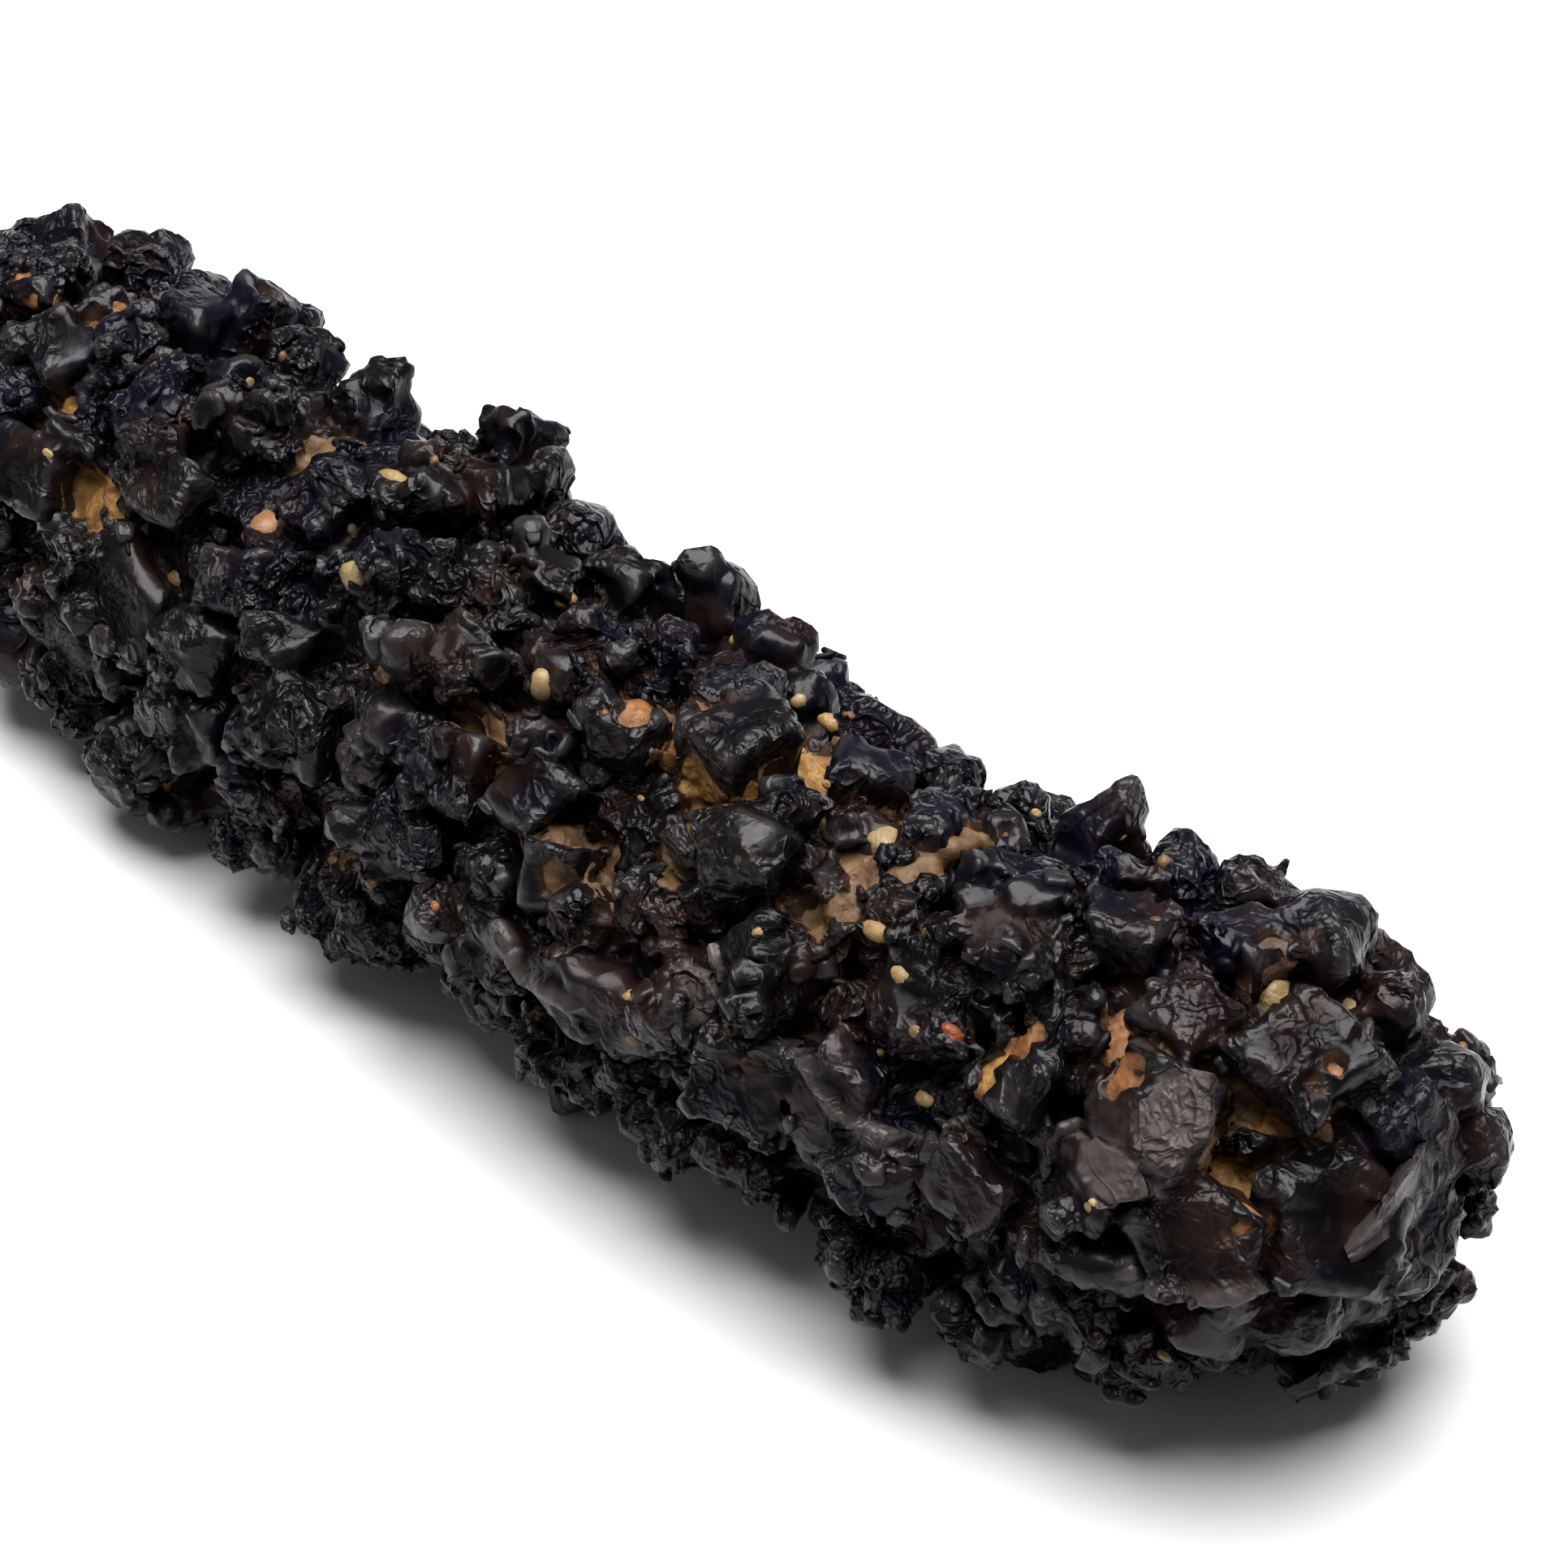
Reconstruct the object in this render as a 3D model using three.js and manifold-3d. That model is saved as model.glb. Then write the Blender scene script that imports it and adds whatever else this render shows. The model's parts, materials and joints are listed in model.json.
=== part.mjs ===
// A prophecy stone: a finger-shaped nodule of iron oxide after marcasite, lying on its side. It grew as
// one piece: a slightly bent rod whose whole skin is crystals grown into each other. The model is that one
// solid. Millimetres, +Z up. +X runs along the rod to its blunt end, and the stone lies on z = 0.

import * as THREE from 'three';
import { ConvexGeometry } from 'three/addons/geometries/ConvexGeometry.js';
import { mergeVertices } from 'three/addons/utils/BufferGeometryUtils.js';
import Module from 'manifold-3d';

// Driving dimensions of the rod
const SLIM_END = -39;
const BLUNT_END = 37.4;
const SLIM_CAP = 10; // length over which the slim end rounds off
const BLUNT_CAP = 7.2; // length over which the blunt end rounds off
const CAP_POWER = 2.5; // 2 rounds an end off as an ellipse, more is blunter
const ROD_SIDES = 10;
const ROD_RINGS = 14;

// The rod's axis and its radius between the crystals, each as [along, value] at stations along the rod: how
// far the axis bends sideways, how high it lies, and the radius
const BEND = [
  [-40, 2.6], [-30, 2.0], [-20, 1.2], [-10, 0.3], [0, -0.4], [8, -0.9], [15, -0.9], [22, 0.1], [28, 1.2],
  [33, 2.2], [39, 3.2],
];
const HEIGHT = [[-40, 6.6], [-30, 7.5], [-20, 8.1], [-10, 8.4], [28, 8.4], [39, 8.3]];
const RADIUS = [
  [-40, 5.0], [-30, 6.3], [-20, 7.0], [-10, 7.3], [0, 7.3], [8, 7.2], [15, 7.3], [22, 7.7], [28, 7.7],
  [33, 7.4], [39, 6.8],
];

// A crystal's root goes this far into the rod, and no two crystals are cut quite alike
const ROOT_DEPTH = 2.3;
const CORNER_WANDER = 0.09; // part of a crystal's half width that each corner strays by
const TILT_WANDER = 11; // degrees that a crystal leans off square
const TURN_WANDER = 8; // degrees that a crystal turns off its listed heading

// Crystals too many to list: how far apart they stand, how proud of the rod and how wide they are
const CARPET_STEP = 6.0;
const CARPET_RISE = [0.5, 1.4];
const CARPET_WIDTH = [4.0, 5.8];
const CARPET_HABITS = ['block', 'dome', 'slab', 'block', 'dome', 'ridge'];
const CARPET_SHUFFLE = 0.9; // mm that one strays along the rod
const CARPET_SWAY = 0.22; // part of a step that one strays around it
const CARPET_TWIST = 17; // degrees that a row turns on for each mm along the rod
const CARPET_TURN = 45; // degrees that one turns either way
const ELBOW_ROOM = 1.3; // clear of a listed crystal's own reach
const BRIM = 1.5; // clear of a hollow's edge

const GROUND = [200, 100, 40]; // what lies below z = 0, cut away so that the stone rests on flats

const RANDOM_START = 2;
const STONE_COLOUR = 0x1b191c;

// Habits of a crystal, from its top down to its root: [drop, reach along the rod, reach around it], where
// drop is a part of the crystal's mean half width and the reaches are parts of its half length and width
const HABITS = {
  block: { sides: 4, levels: [[0, 0.92, 0.92], [0.34, 1.16, 1.16]], root: 1.0 },
  cube: { sides: 4, levels: [[0, 1.14, 1.14], [0.12, 1.26, 1.26]], root: 1.14 },
  slab: { sides: 5, levels: [[0, 0.9, 0.9], [0.2, 1.08, 1.08]], root: 0.95 },
  dome: { sides: 5, levels: [[0, 0.42, 0.42], [0.34, 0.88, 0.88], [0.95, 1.05, 1.05]], root: 0.8 },
  peak: { sides: 4, levels: [[0, 0.16, 0.16], [0.6, 0.72, 0.72], [1.5, 1.05, 1.05]], root: 0.85 },
  ridge: { sides: 4, levels: [[0, 0.9, 0.2], [0.7, 1.2, 1.1]], root: 1.0 },
};

// Crystals, each as [along the rod, degrees around from the top towards -Y, rise above the rod, length,
// width, habit, turn]
const CRYSTALS = [
  // Along the shoulder away from -Y, from the slim end
  [-37.4, -28, 1.3, 4.6, 4.6, 'dome', 0],
  [-34.8, -34, 1.7, 4.0, 4.0, 'block', 10],
  [-30.9, -34, 1.8, 1.9, 2.8, 'dome', 0],
  [-29.3, -33, 2.2, 2.3, 3.0, 'dome', 20],
  [-25.7, -31, 1.4, 3.6, 4.0, 'block', 8],
  [-23.1, -33, 2.2, 2.3, 4.0, 'cube', 5],
  [-24.2, -15, 1.6, 4.2, 3.0, 'block', 0],
  [-20.2, -34, 1.4, 2.8, 3.6, 'dome', 0],
  [-15.4, -33, 1.4, 3.8, 3.8, 'dome', 0],
  [-10.5, -32, 1.1, 2.4, 2.8, 'block', 0],
  [-8.4, -34, 3.0, 2.4, 2.8, 'cube', -14],
  [-6.0, -35, 2.6, 1.5, 2.8, 'dome', 0],
  [-7.2, -17, 1.6, 4.2, 3.2, 'block', 6],
  [-3.6, -32, 1.6, 3.6, 3.8, 'dome', 0],
  [-0.7, -29, 1.1, 3.2, 3.6, 'block', 12],
  [1.5, -36, 2.0, 1.8, 2.6, 'peak', 0],
  [3.4, -36, 2.7, 2.7, 3.2, 'dome', 0],
  [6.1, -36, 2.1, 3.2, 2.8, 'dome', 20],
  [12.2, -34, 1.4, 4.6, 2.6, 'ridge', 4],
  [15.0, -32, 1.2, 2.8, 3.4, 'dome', 0],
  [18.4, -31, 1.0, 2.6, 2.4, 'dome', 0],
  [20.9, -36, 2.6, 2.9, 3.3, 'peak', 0],
  [24.4, -33, 1.2, 3.2, 3.2, 'dome', 0],
  [27.0, -33, 1.3, 3.2, 2.8, 'slab', 0],
  [29.9, -26, 1.9, 4.6, 4.8, 'dome', 0],
  // On top
  [-31.6, 4, 1.2, 3.4, 3.2, 'block', 15],
  [-27.4, 2, 1.3, 2.6, 3.4, 'ridge', 60],
  [-24.1, 9, 1.3, 2.8, 2.6, 'slab', 0],
  [-21.4, 13, 1.1, 2.6, 2.6, 'block', 30],
  [-16.0, 9, 1.0, 3.4, 2.8, 'slab', 0],
  [-8.6, -2, 1.2, 3.8, 3.2, 'slab', 10],
  [-5.6, 12, 1.2, 3.0, 2.4, 'ridge', 40],
  [-2.4, 13, 1.0, 4.2, 3.0, 'slab', 0],
  [-1.6, -6, 1.1, 3.0, 2.8, 'block', 25],
  [2.6, 9, 1.3, 3.2, 3.6, 'block', 0],
  [4.0, -10, 1.0, 2.8, 2.8, 'block', 35],
  [7.6, -11, 1.4, 3.6, 2.8, 'block', 10],
  [9.6, 4, 1.9, 5.2, 4.4, 'slab', -12],
  [13.0, 12, 1.3, 3.0, 2.8, 'dome', 0],
  [14.0, -12, 1.1, 3.4, 3.0, 'block', 30],
  [17.9, -6, 1.1, 3.2, 3.8, 'slab', 0],
  [21.6, 6, 1.1, 3.4, 3.0, 'block', 20],
  [24.0, -12, 1.2, 3.6, 2.4, 'ridge', 0],
  [25.9, 4, 1.3, 3.4, 3.2, 'slab', 8],
  [29.2, -8, 1.2, 3.8, 3.2, 'block', -10],
  // On the upper half of the face towards -Y
  [-33.4, 32, 1.2, 4.2, 3.8, 'block', 0],
  [-27.2, 20, 1.4, 4.0, 3.4, 'block', -10],
  [-27.8, 46, 1.3, 3.2, 3.4, 'dome', 0],
  [-23.4, 44, 1.1, 3.4, 2.0, 'ridge', 0],
  [-19.9, 22, 1.0, 2.6, 2.8, 'slab', 20],
  [-17.8, 38, 1.2, 5.0, 3.2, 'slab', 0],
  [-11.8, 48, 1.5, 3.4, 2.8, 'block', 12],
  [-11.0, 16, 1.0, 3.2, 3.2, 'block', 0],
  [-8.4, 54, 1.6, 3.2, 3.4, 'peak', 0],
  [-5.8, 25, 1.4, 3.4, 3.0, 'block', 20],
  [-1.2, 29, 1.5, 3.6, 3.0, 'block', 0],
  [-2.8, 54, 1.2, 3.0, 3.2, 'dome', 0],
  [1.0, 54, 1.3, 3.2, 3.6, 'block', 12],
  [4.5, 46, 1.2, 3.6, 3.4, 'block', -15],
  [6.2, 19, 1.6, 3.3, 3.3, 'dome', 0],
  [7.0, 59, 1.2, 2.8, 2.8, 'cube', 18],
  [11.2, 51, 1.2, 3.6, 2.4, 'ridge', -12],
  [13.4, 29, 2.1, 5.5, 4.3, 'dome', 0],
  [16.3, 50, 1.6, 4.6, 4.4, 'dome', 10],
  [22.4, 42, 1.1, 3.2, 3.6, 'block', 30],
  [23.2, 20, 1.5, 5.0, 3.8, 'slab', -8],
  [26.3, 49, 1.4, 4.0, 3.4, 'block', 0],
  [26.4, 34, 1.1, 2.8, 2.8, 'cube', 40],
  [29.8, 21, 1.5, 3.4, 3.0, 'block', 0],
  [30.9, 44, 1.8, 4.2, 4.5, 'slab', 20],
  [33.6, 12, 1.8, 5.0, 4.6, 'block', -6],
  // On the lower half of the face towards -Y
  [-31.0, 62, 1.3, 4.4, 4.4, 'block', 0],
  [-24.6, 60, 1.5, 3.8, 3.4, 'cube', 6],
  [-17.4, 74, 1.2, 5.4, 4.2, 'slab', 0],
  [-20.6, 96, 1.2, 5.0, 4.6, 'slab', 10],
  [-12.6, 70, 1.8, 4.2, 4.4, 'dome', 0],
  [-12.8, 94, 1.2, 5.0, 3.8, 'slab', 0],
  [-7.0, 72, 1.2, 4.2, 4.2, 'slab', 0],
  [-7.8, 98, 1.4, 3.2, 3.8, 'dome', 0],
  [-0.9, 81, 1.6, 4.8, 3.6, 'dome', 10],
  [4.4, 70, 1.5, 3.4, 2.4, 'dome', 0],
  [4.6, 88, 1.3, 4.6, 4.2, 'slab', 0],
  [8.6, 67, 1.4, 3.4, 2.4, 'dome', 0],
  [10.2, 79, 1.7, 7.0, 3.4, 'slab', 2],
  [13.6, 71, 1.7, 3.2, 3.6, 'dome', 0],
  [17.0, 78, 1.4, 4.0, 4.0, 'cube', 0],
  [20.4, 72, 1.2, 3.6, 4.8, 'slab', 0],
  [22.6, 82, 1.8, 4.6, 3.6, 'dome', 0],
  [26.0, 76, 1.7, 3.8, 3.0, 'block', -20],
  [29.7, 62, 1.6, 4.4, 3.2, 'slab', -6],
  [29.0, 94, 0.9, 4.8, 4.6, 'block', 0],
  [31.2, 80, 1.5, 3.6, 3.4, 'dome', 0],
  [33.9, 65, 1.5, 4.8, 4.4, 'slab', 0],
  // Along the underside towards -Y
  [-34.0, 94, 1.2, 4.8, 4.8, 'block', 0],
  [-25.4, 119, 3.5, 5.0, 4.8, 'dome', 0],
  [-21.2, 118, 2.4, 4.2, 4.2, 'dome', 0],
  [-16.4, 121, 3.9, 4.3, 4.4, 'dome', 0],
  [-8.9, 121, 2.2, 4.0, 3.6, 'dome', 0],
  [-5.0, 122, 2.6, 4.0, 3.6, 'dome', 0],
  [-1.6, 116, 1.9, 3.6, 3.8, 'dome', 0],
  [3.4, 118, 1.5, 4.6, 4.0, 'dome', 0],
  [8.2, 116, 1.3, 4.4, 4.0, 'block', 0],
  [12.6, 114, 1.0, 4.2, 4.0, 'block', 0],
  [16.8, 112, 1.3, 4.2, 3.8, 'block', 0],
  [22.8, 113, 1.9, 3.9, 3.6, 'block', 12],
  [26.6, 120, 1.8, 4.6, 4.0, 'peak', 0],
  [31.8, 120, 1.0, 4.6, 4.4, 'peak', 0],
  // Feet that the stone rests on
  [-28.0, 156, 2.2, 4.2, 4.2, 'dome', 0],
  [-22.0, -156, 2.2, 4.2, 4.2, 'block', 20],
  [-3.0, -150, 2.4, 4.4, 4.2, 'dome', 0],
  [6.0, 153, 2.3, 4.2, 4.2, 'block', 0],
  [24.0, 168, 1.6, 4.4, 4.2, 'block', 10],
  [29.0, -150, 2.4, 4.4, 4.4, 'dome', 0],
  // The blunt end
  [33.4, -32, 1.1, 3.4, 3.8, 'dome', 0],
  [36.1, -36, 1.6, 3.2, 3.6, 'dome', 0],
  [37.2, -54, 1.8, 2.8, 3.2, 'dome', 0],
  [35.6, 2, 1.0, 2.8, 2.6, 'cube', 20],
  [36.8, -8, 1.1, 3.4, 3.8, 'block', 30],
  [36.9, 44, 1.0, 5.2, 5.6, 'slab', 0],
  [37.0, 94, 0.9, 4.2, 4.6, 'dome', 0],
  [34.9, 88, 1.1, 4.2, 4.6, 'ridge', 60],
  [36.8, -110, 0.8, 4.6, 4.8, 'dome', 0],
  [37.2, -26, 0.7, 4.4, 4.4, 'dome', 0],
  [38.3, 0, 0.5, 5.0, 4.8, 'slab', 20],
  [36.7, -158, 0.8, 4.4, 4.4, 'block', 10],
  [36.3, 166, 0.8, 4.2, 4.4, 'slab', 0],
];

// Hollows between the crystals, each as [along, degrees around, radius, depth below the rod's skin]
const HOLLOWS = [
  [-18.4, 4, 1.5, 1.6],
  [-22.4, 29, 1.2, 1.3],
  [-14.4, 43, 1.3, 1.4],
  [-9.6, 37, 1.2, 1.2],
  [-4.3, 8, 1.0, 1.2],
  [1.6, 27, 1.5, 1.5],
  [-5.0, 90, 1.2, 1.5],
  [6.0, -7, 1.1, 1.1],
  [10.6, 93, 1.8, 1.5],
  [15.6, 4, 1.0, 1.1],
  [18.3, 45, 1.4, 1.5],
  [20.6, 24, 1.7, 1.8],
  [29.8, 11, 1.4, 1.5],
  [35.4, 16, 1.0, 1.4],
  [28.4, 78, 1.2, 1.3],
];

const wasm = await Module();
wasm.setup();

// Random numbers that come out the same each time. Each crystal starts its own run of them, from its place
// on the rod, so that moving one leaves the others as they are.
let seed = RANDOM_START;
function restart(x, degrees) {
  seed = (RANDOM_START + Math.round(1000 * x + 10 * degrees)) >>> 0;
  random();
  random();
}

function random() {
  seed = (Math.imul(seed, 1664525) + 1013904223) >>> 0;
  return seed / 2 ** 32;
}

function between([low, high]) {
  return low + (high - low) * random();
}

function wander(amount) {
  return amount * (2 * random() - 1);
}

function radians(degrees) {
  return (degrees * Math.PI) / 180;
}

// Value of a table of [station, value] at x, on a straight line between stations
function along(table, x) {
  const last = table.length - 2;
  const found = table.findIndex(([station]) => station > x);
  const i = Math.min(Math.max(found < 0 ? last : found - 1, 0), last);
  const [x0, v0] = table[i];
  const [x1, v1] = table[i + 1];
  return v0 + ((v1 - v0) * (x - x0)) / (x1 - x0);
}

function axisPoint(x) {
  return new THREE.Vector3(x, along(BEND, x), along(HEIGHT, x));
}

// How much of its radius the rod still has at x, as its ends round off
function taper(x) {
  const pastBlunt = (x - BLUNT_END + BLUNT_CAP) / BLUNT_CAP;
  const pastSlim = (SLIM_END + SLIM_CAP - x) / SLIM_CAP;
  const past = Math.min(Math.max(pastBlunt, pastSlim, 0), 1);
  return (1 - past ** CAP_POWER) ** (1 / CAP_POWER);
}

// A point on the rod's skin and the way out of the stone there, which leans over the ends past the caps
function skin(x, degrees) {
  const blunt = BLUNT_END - BLUNT_CAP;
  const slim = SLIM_END + SLIM_CAP;
  const base = Math.min(Math.max(x, slim), blunt);
  const cap = x > blunt ? BLUNT_CAP : SLIM_CAP;
  const lean = Math.asin(Math.min(Math.max((x - base) / (cap + 1), -1), 1));
  const angle = radians(degrees);
  const spoke = new THREE.Vector3(0, -Math.sin(angle), Math.cos(angle));
  const out = spoke.clone().multiplyScalar(Math.cos(lean)).add(new THREE.Vector3(Math.sin(lean), 0, 0));
  const reach = new THREE.Vector3(Math.sin(lean) * cap, 0, 0);
  reach.addScaledVector(spoke, Math.cos(lean) * along(RADIUS, base));
  return { point: axisPoint(base).add(reach), out };
}

function solid(geometry) {
  geometry.deleteAttribute('normal');
  geometry.deleteAttribute('uv');
  const merged = mergeVertices(geometry, 1e-5);
  const vertProperties = Float32Array.from(merged.attributes.position.array);
  const triVerts = Uint32Array.from(merged.index.array);
  return new wasm.Manifold(new wasm.Mesh({ numProp: 3, vertProperties, triVerts }));
}

// The rod between its crystals: turned about its axis, laid along X and bent
function rod() {
  const profile = [];
  const middle = (SLIM_END + BLUNT_END) / 2;
  const half = (BLUNT_END - SLIM_END) / 2;
  for (let ring = 0; ring <= ROD_RINGS; ring += 1) {
    const x = middle - half * Math.cos((Math.PI * ring) / ROD_RINGS);
    profile.push(new THREE.Vector2(taper(x) * along(RADIUS, x), x));
  }
  profile[0].x = 0;
  profile[ROD_RINGS].x = 0;
  const geometry = new THREE.LatheGeometry(profile, ROD_SIDES);
  geometry.rotateZ(-Math.PI / 2);
  const position = geometry.attributes.position;
  for (let i = 0; i < position.count; i += 1) {
    const x = position.getX(i);
    position.setXYZ(i, x, position.getY(i) + along(BEND, x), position.getZ(i) + along(HEIGHT, x));
  }
  return solid(geometry);
}

// How a crystal stands on the skin: its own +Z points out of the stone and its +X along the rod
function standing(x, degrees, turn) {
  const { point, out } = skin(x, degrees);
  const side = new THREE.Vector3().crossVectors(out, new THREE.Vector3(1, 0, 0)).normalize();
  const forward = new THREE.Vector3().crossVectors(side, out);
  const leanX = radians(wander(TILT_WANDER));
  const leanY = radians(wander(TILT_WANDER));
  const lean = new THREE.Euler(leanX, leanY, radians(turn + wander(TURN_WANDER)));
  const stand = new THREE.Matrix4().makeTranslation(point);
  stand.multiply(new THREE.Matrix4().makeBasis(forward, side, out));
  return stand.multiply(new THREE.Matrix4().makeRotationFromEuler(lean));
}

// One crystal: the convex body around rings of corners, from its top to its root
function crystal([x, degrees, rise, length, width, habit, turn]) {
  const { sides, levels, root } = HABITS[habit];
  const half = (length + width) / 4;
  const stray = CORNER_WANDER * half;
  const corners = [];
  restart(x, degrees);
  for (const [drop, alongReach, aroundReach] of [...levels, [Infinity, root, root]]) {
    const height = Math.max(rise - drop * half, -ROOT_DEPTH);
    for (let k = 0; k < sides; k += 1) {
      const angle = (2 * Math.PI * (k + 0.5)) / sides;
      const px = (Math.cos(angle) * alongReach * length) / 2 + wander(stray);
      const py = (Math.sin(angle) * aroundReach * width) / 2 + wander(stray);
      corners.push(new THREE.Vector3(px, py, height + wander(stray)));
    }
  }
  const geometry = new ConvexGeometry(corners);
  geometry.applyMatrix4(standing(x, degrees, turn));
  return solid(geometry);
}

function hollow([x, degrees, radius, depth]) {
  const { point, out } = skin(x, degrees);
  const geometry = new THREE.IcosahedronGeometry(radius, 0);
  geometry.translate(...point.addScaledVector(out, radius - depth));
  return solid(geometry);
}

// Distance between two places on the unrolled skin
function apart(x0, degrees0, x1, degrees1) {
  const turn = ((degrees1 - degrees0 + 540) % 360) - 180;
  return Math.hypot(x1 - x0, radians(turn) * along(RADIUS, x0));
}

// Whether nothing listed stands at a place and no hollow opens there
function isFree(x, degrees) {
  const crowded = CRYSTALS.some((c) => apart(x, degrees, c[0], c[1]) < (c[3] + c[4]) / 5 + ELBOW_ROOM);
  const open = HOLLOWS.some((h) => apart(x, degrees, h[0], h[1]) < h[2] + BRIM);
  return !crowded && !open;
}

// The crystals that no one listed: rows around the rod, wherever there is room
function carpet() {
  const grown = [];
  for (let row = SLIM_END + 2; row < BLUNT_END - 3; row += CARPET_STEP) {
    const girth = 2 * Math.PI * along(RADIUS, row) * taper(row);
    const count = Math.max(3, Math.round(girth / CARPET_STEP));
    for (let k = 0; k < count; k += 1) {
      const x = row + wander(CARPET_SHUFFLE);
      const turned = (360 * (k + wander(CARPET_SWAY))) / count + CARPET_TWIST * x;
      const degrees = ((turned % 360) + 360) % 360;
      const size = [between(CARPET_RISE), between(CARPET_WIDTH), between(CARPET_WIDTH)];
      const habit = CARPET_HABITS[Math.floor(random() * CARPET_HABITS.length)];
      const turn = wander(CARPET_TURN);
      if (isFree(x, degrees)) {
        grown.push([x, degrees, ...size, habit, turn]);
      }
    }
  }
  return grown;
}

// The whole stone as one solid: the rod, less the hollows, with the crystals grown on, flat where it rests
function grow() {
  let stone = rod();
  for (const entry of HOLLOWS) {
    stone = stone.subtract(hollow(entry));
  }
  for (const entry of [...CRYSTALS, ...carpet()]) {
    stone = stone.add(crystal(entry));
  }
  const ground = new THREE.BoxGeometry(...GROUND);
  ground.translate(0, 0, -GROUND[2] / 2);
  return stone.subtract(solid(ground));
}

// A named mesh of a solid, moved so that the middle of its footprint box is at the origin
function mesh(grown, name, colour) {
  const { vertProperties, triVerts, numProp } = grown.getMesh();
  const positions = new THREE.BufferAttribute(new Float32Array((vertProperties.length / numProp) * 3), 3);
  for (let i = 0; i < positions.count; i += 1) {
    positions.setXYZ(i, ...vertProperties.subarray(i * numProp, i * numProp + 3));
  }
  const geometry = new THREE.BufferGeometry();
  geometry.setAttribute('position', positions);
  geometry.setIndex(new THREE.BufferAttribute(Uint32Array.from(triVerts), 1));
  geometry.computeVertexNormals();
  geometry.computeBoundingBox();
  const middle = geometry.boundingBox.getCenter(new THREE.Vector3());
  const material = new THREE.MeshStandardMaterial({ color: colour, roughness: 0.45, metalness: 0.1 });
  const result = new THREE.Mesh(geometry, material);
  result.name = name;
  result.position.set(-middle.x, -middle.y, 0);
  return result;
}

const prophecyStone = new THREE.Group();
prophecyStone.add(mesh(grow(), 'stone', STONE_COLOUR));

export default prophecyStone;
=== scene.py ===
# A prophecy stone: a finger-shaped nodule of iron oxide, crusted with dark crystals, with sandy ochre in its
# hollows.
import json
import math
import random

import bmesh
import bpy
import numpy as np
from mathutils import Matrix, Vector, noise
from mathutils.bvhtree import BVHTree

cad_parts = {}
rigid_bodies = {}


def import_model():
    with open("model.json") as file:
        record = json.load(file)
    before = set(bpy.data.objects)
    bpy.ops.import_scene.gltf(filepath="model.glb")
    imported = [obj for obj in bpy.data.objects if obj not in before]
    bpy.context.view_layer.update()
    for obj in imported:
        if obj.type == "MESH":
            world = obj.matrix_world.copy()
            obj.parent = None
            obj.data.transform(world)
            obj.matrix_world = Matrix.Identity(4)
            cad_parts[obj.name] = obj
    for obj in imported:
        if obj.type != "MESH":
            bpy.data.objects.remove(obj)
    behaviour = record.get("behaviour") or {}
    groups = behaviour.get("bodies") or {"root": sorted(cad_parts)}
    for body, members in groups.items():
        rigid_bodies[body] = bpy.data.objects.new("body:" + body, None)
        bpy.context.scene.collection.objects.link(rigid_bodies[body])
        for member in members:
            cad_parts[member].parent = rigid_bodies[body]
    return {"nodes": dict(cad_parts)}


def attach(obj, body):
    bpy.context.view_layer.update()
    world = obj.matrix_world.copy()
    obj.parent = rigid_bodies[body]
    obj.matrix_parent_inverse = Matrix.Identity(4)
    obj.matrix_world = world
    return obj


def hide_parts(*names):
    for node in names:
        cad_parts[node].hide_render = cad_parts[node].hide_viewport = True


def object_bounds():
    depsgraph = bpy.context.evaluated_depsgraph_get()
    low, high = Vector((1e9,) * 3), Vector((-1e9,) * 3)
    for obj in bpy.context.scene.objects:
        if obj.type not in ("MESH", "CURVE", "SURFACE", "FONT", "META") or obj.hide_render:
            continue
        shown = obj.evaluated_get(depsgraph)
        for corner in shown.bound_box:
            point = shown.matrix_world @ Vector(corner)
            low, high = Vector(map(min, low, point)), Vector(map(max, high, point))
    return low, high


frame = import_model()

bl_info = {
    "name": "Prophecy Stone",
    "version": (1, 0, 0),
    "blender": (4, 5, 0),
    "location": "3D Viewport > Sidebar > Prophecy Stone",
    "description": "Grows a crystal-crusted iron-oxide stone around its packed solid and lights it",
    "category": "Add Mesh",
}

CAD_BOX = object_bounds()
MM = 0.001
STONE = "stone"
BODY = "root"
WELD = 1e-6  # m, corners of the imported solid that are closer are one
FILL_TRIANGLES = 84000  # on the ochre's face
FILL_DEPTH = 0.34 * MM  # from the crust's skin down to the ochre
FILL_THICKNESS = 0.7 * MM
CROWD = 4.0e6  # small bodies per square metre, at most

# The rod's axis and its radius between the crystals, in mm at stations along it, as the solid has them.
# A place on the stone is given as mm along the rod and degrees around it, from the top towards -Y.
ROD_SHIFT = (0.25, -0.08)
AXIS_ALONG = (-40, -30, -20, -10, 0, 8, 15, 22, 28, 33, 39)
AXIS_SIDE = (2.6, 2.0, 1.2, 0.3, -0.4, -0.9, -0.9, 0.1, 1.2, 2.2, 3.2)
AXIS_UP = (6.6, 7.5, 8.1, 8.4, 8.4, 8.4, 8.4, 8.4, 8.4, 8.35, 8.3)
ROD_RADIUS = (5.0, 6.3, 7.0, 7.3, 7.3, 7.2, 7.3, 7.7, 7.7, 7.4, 6.8)

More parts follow.
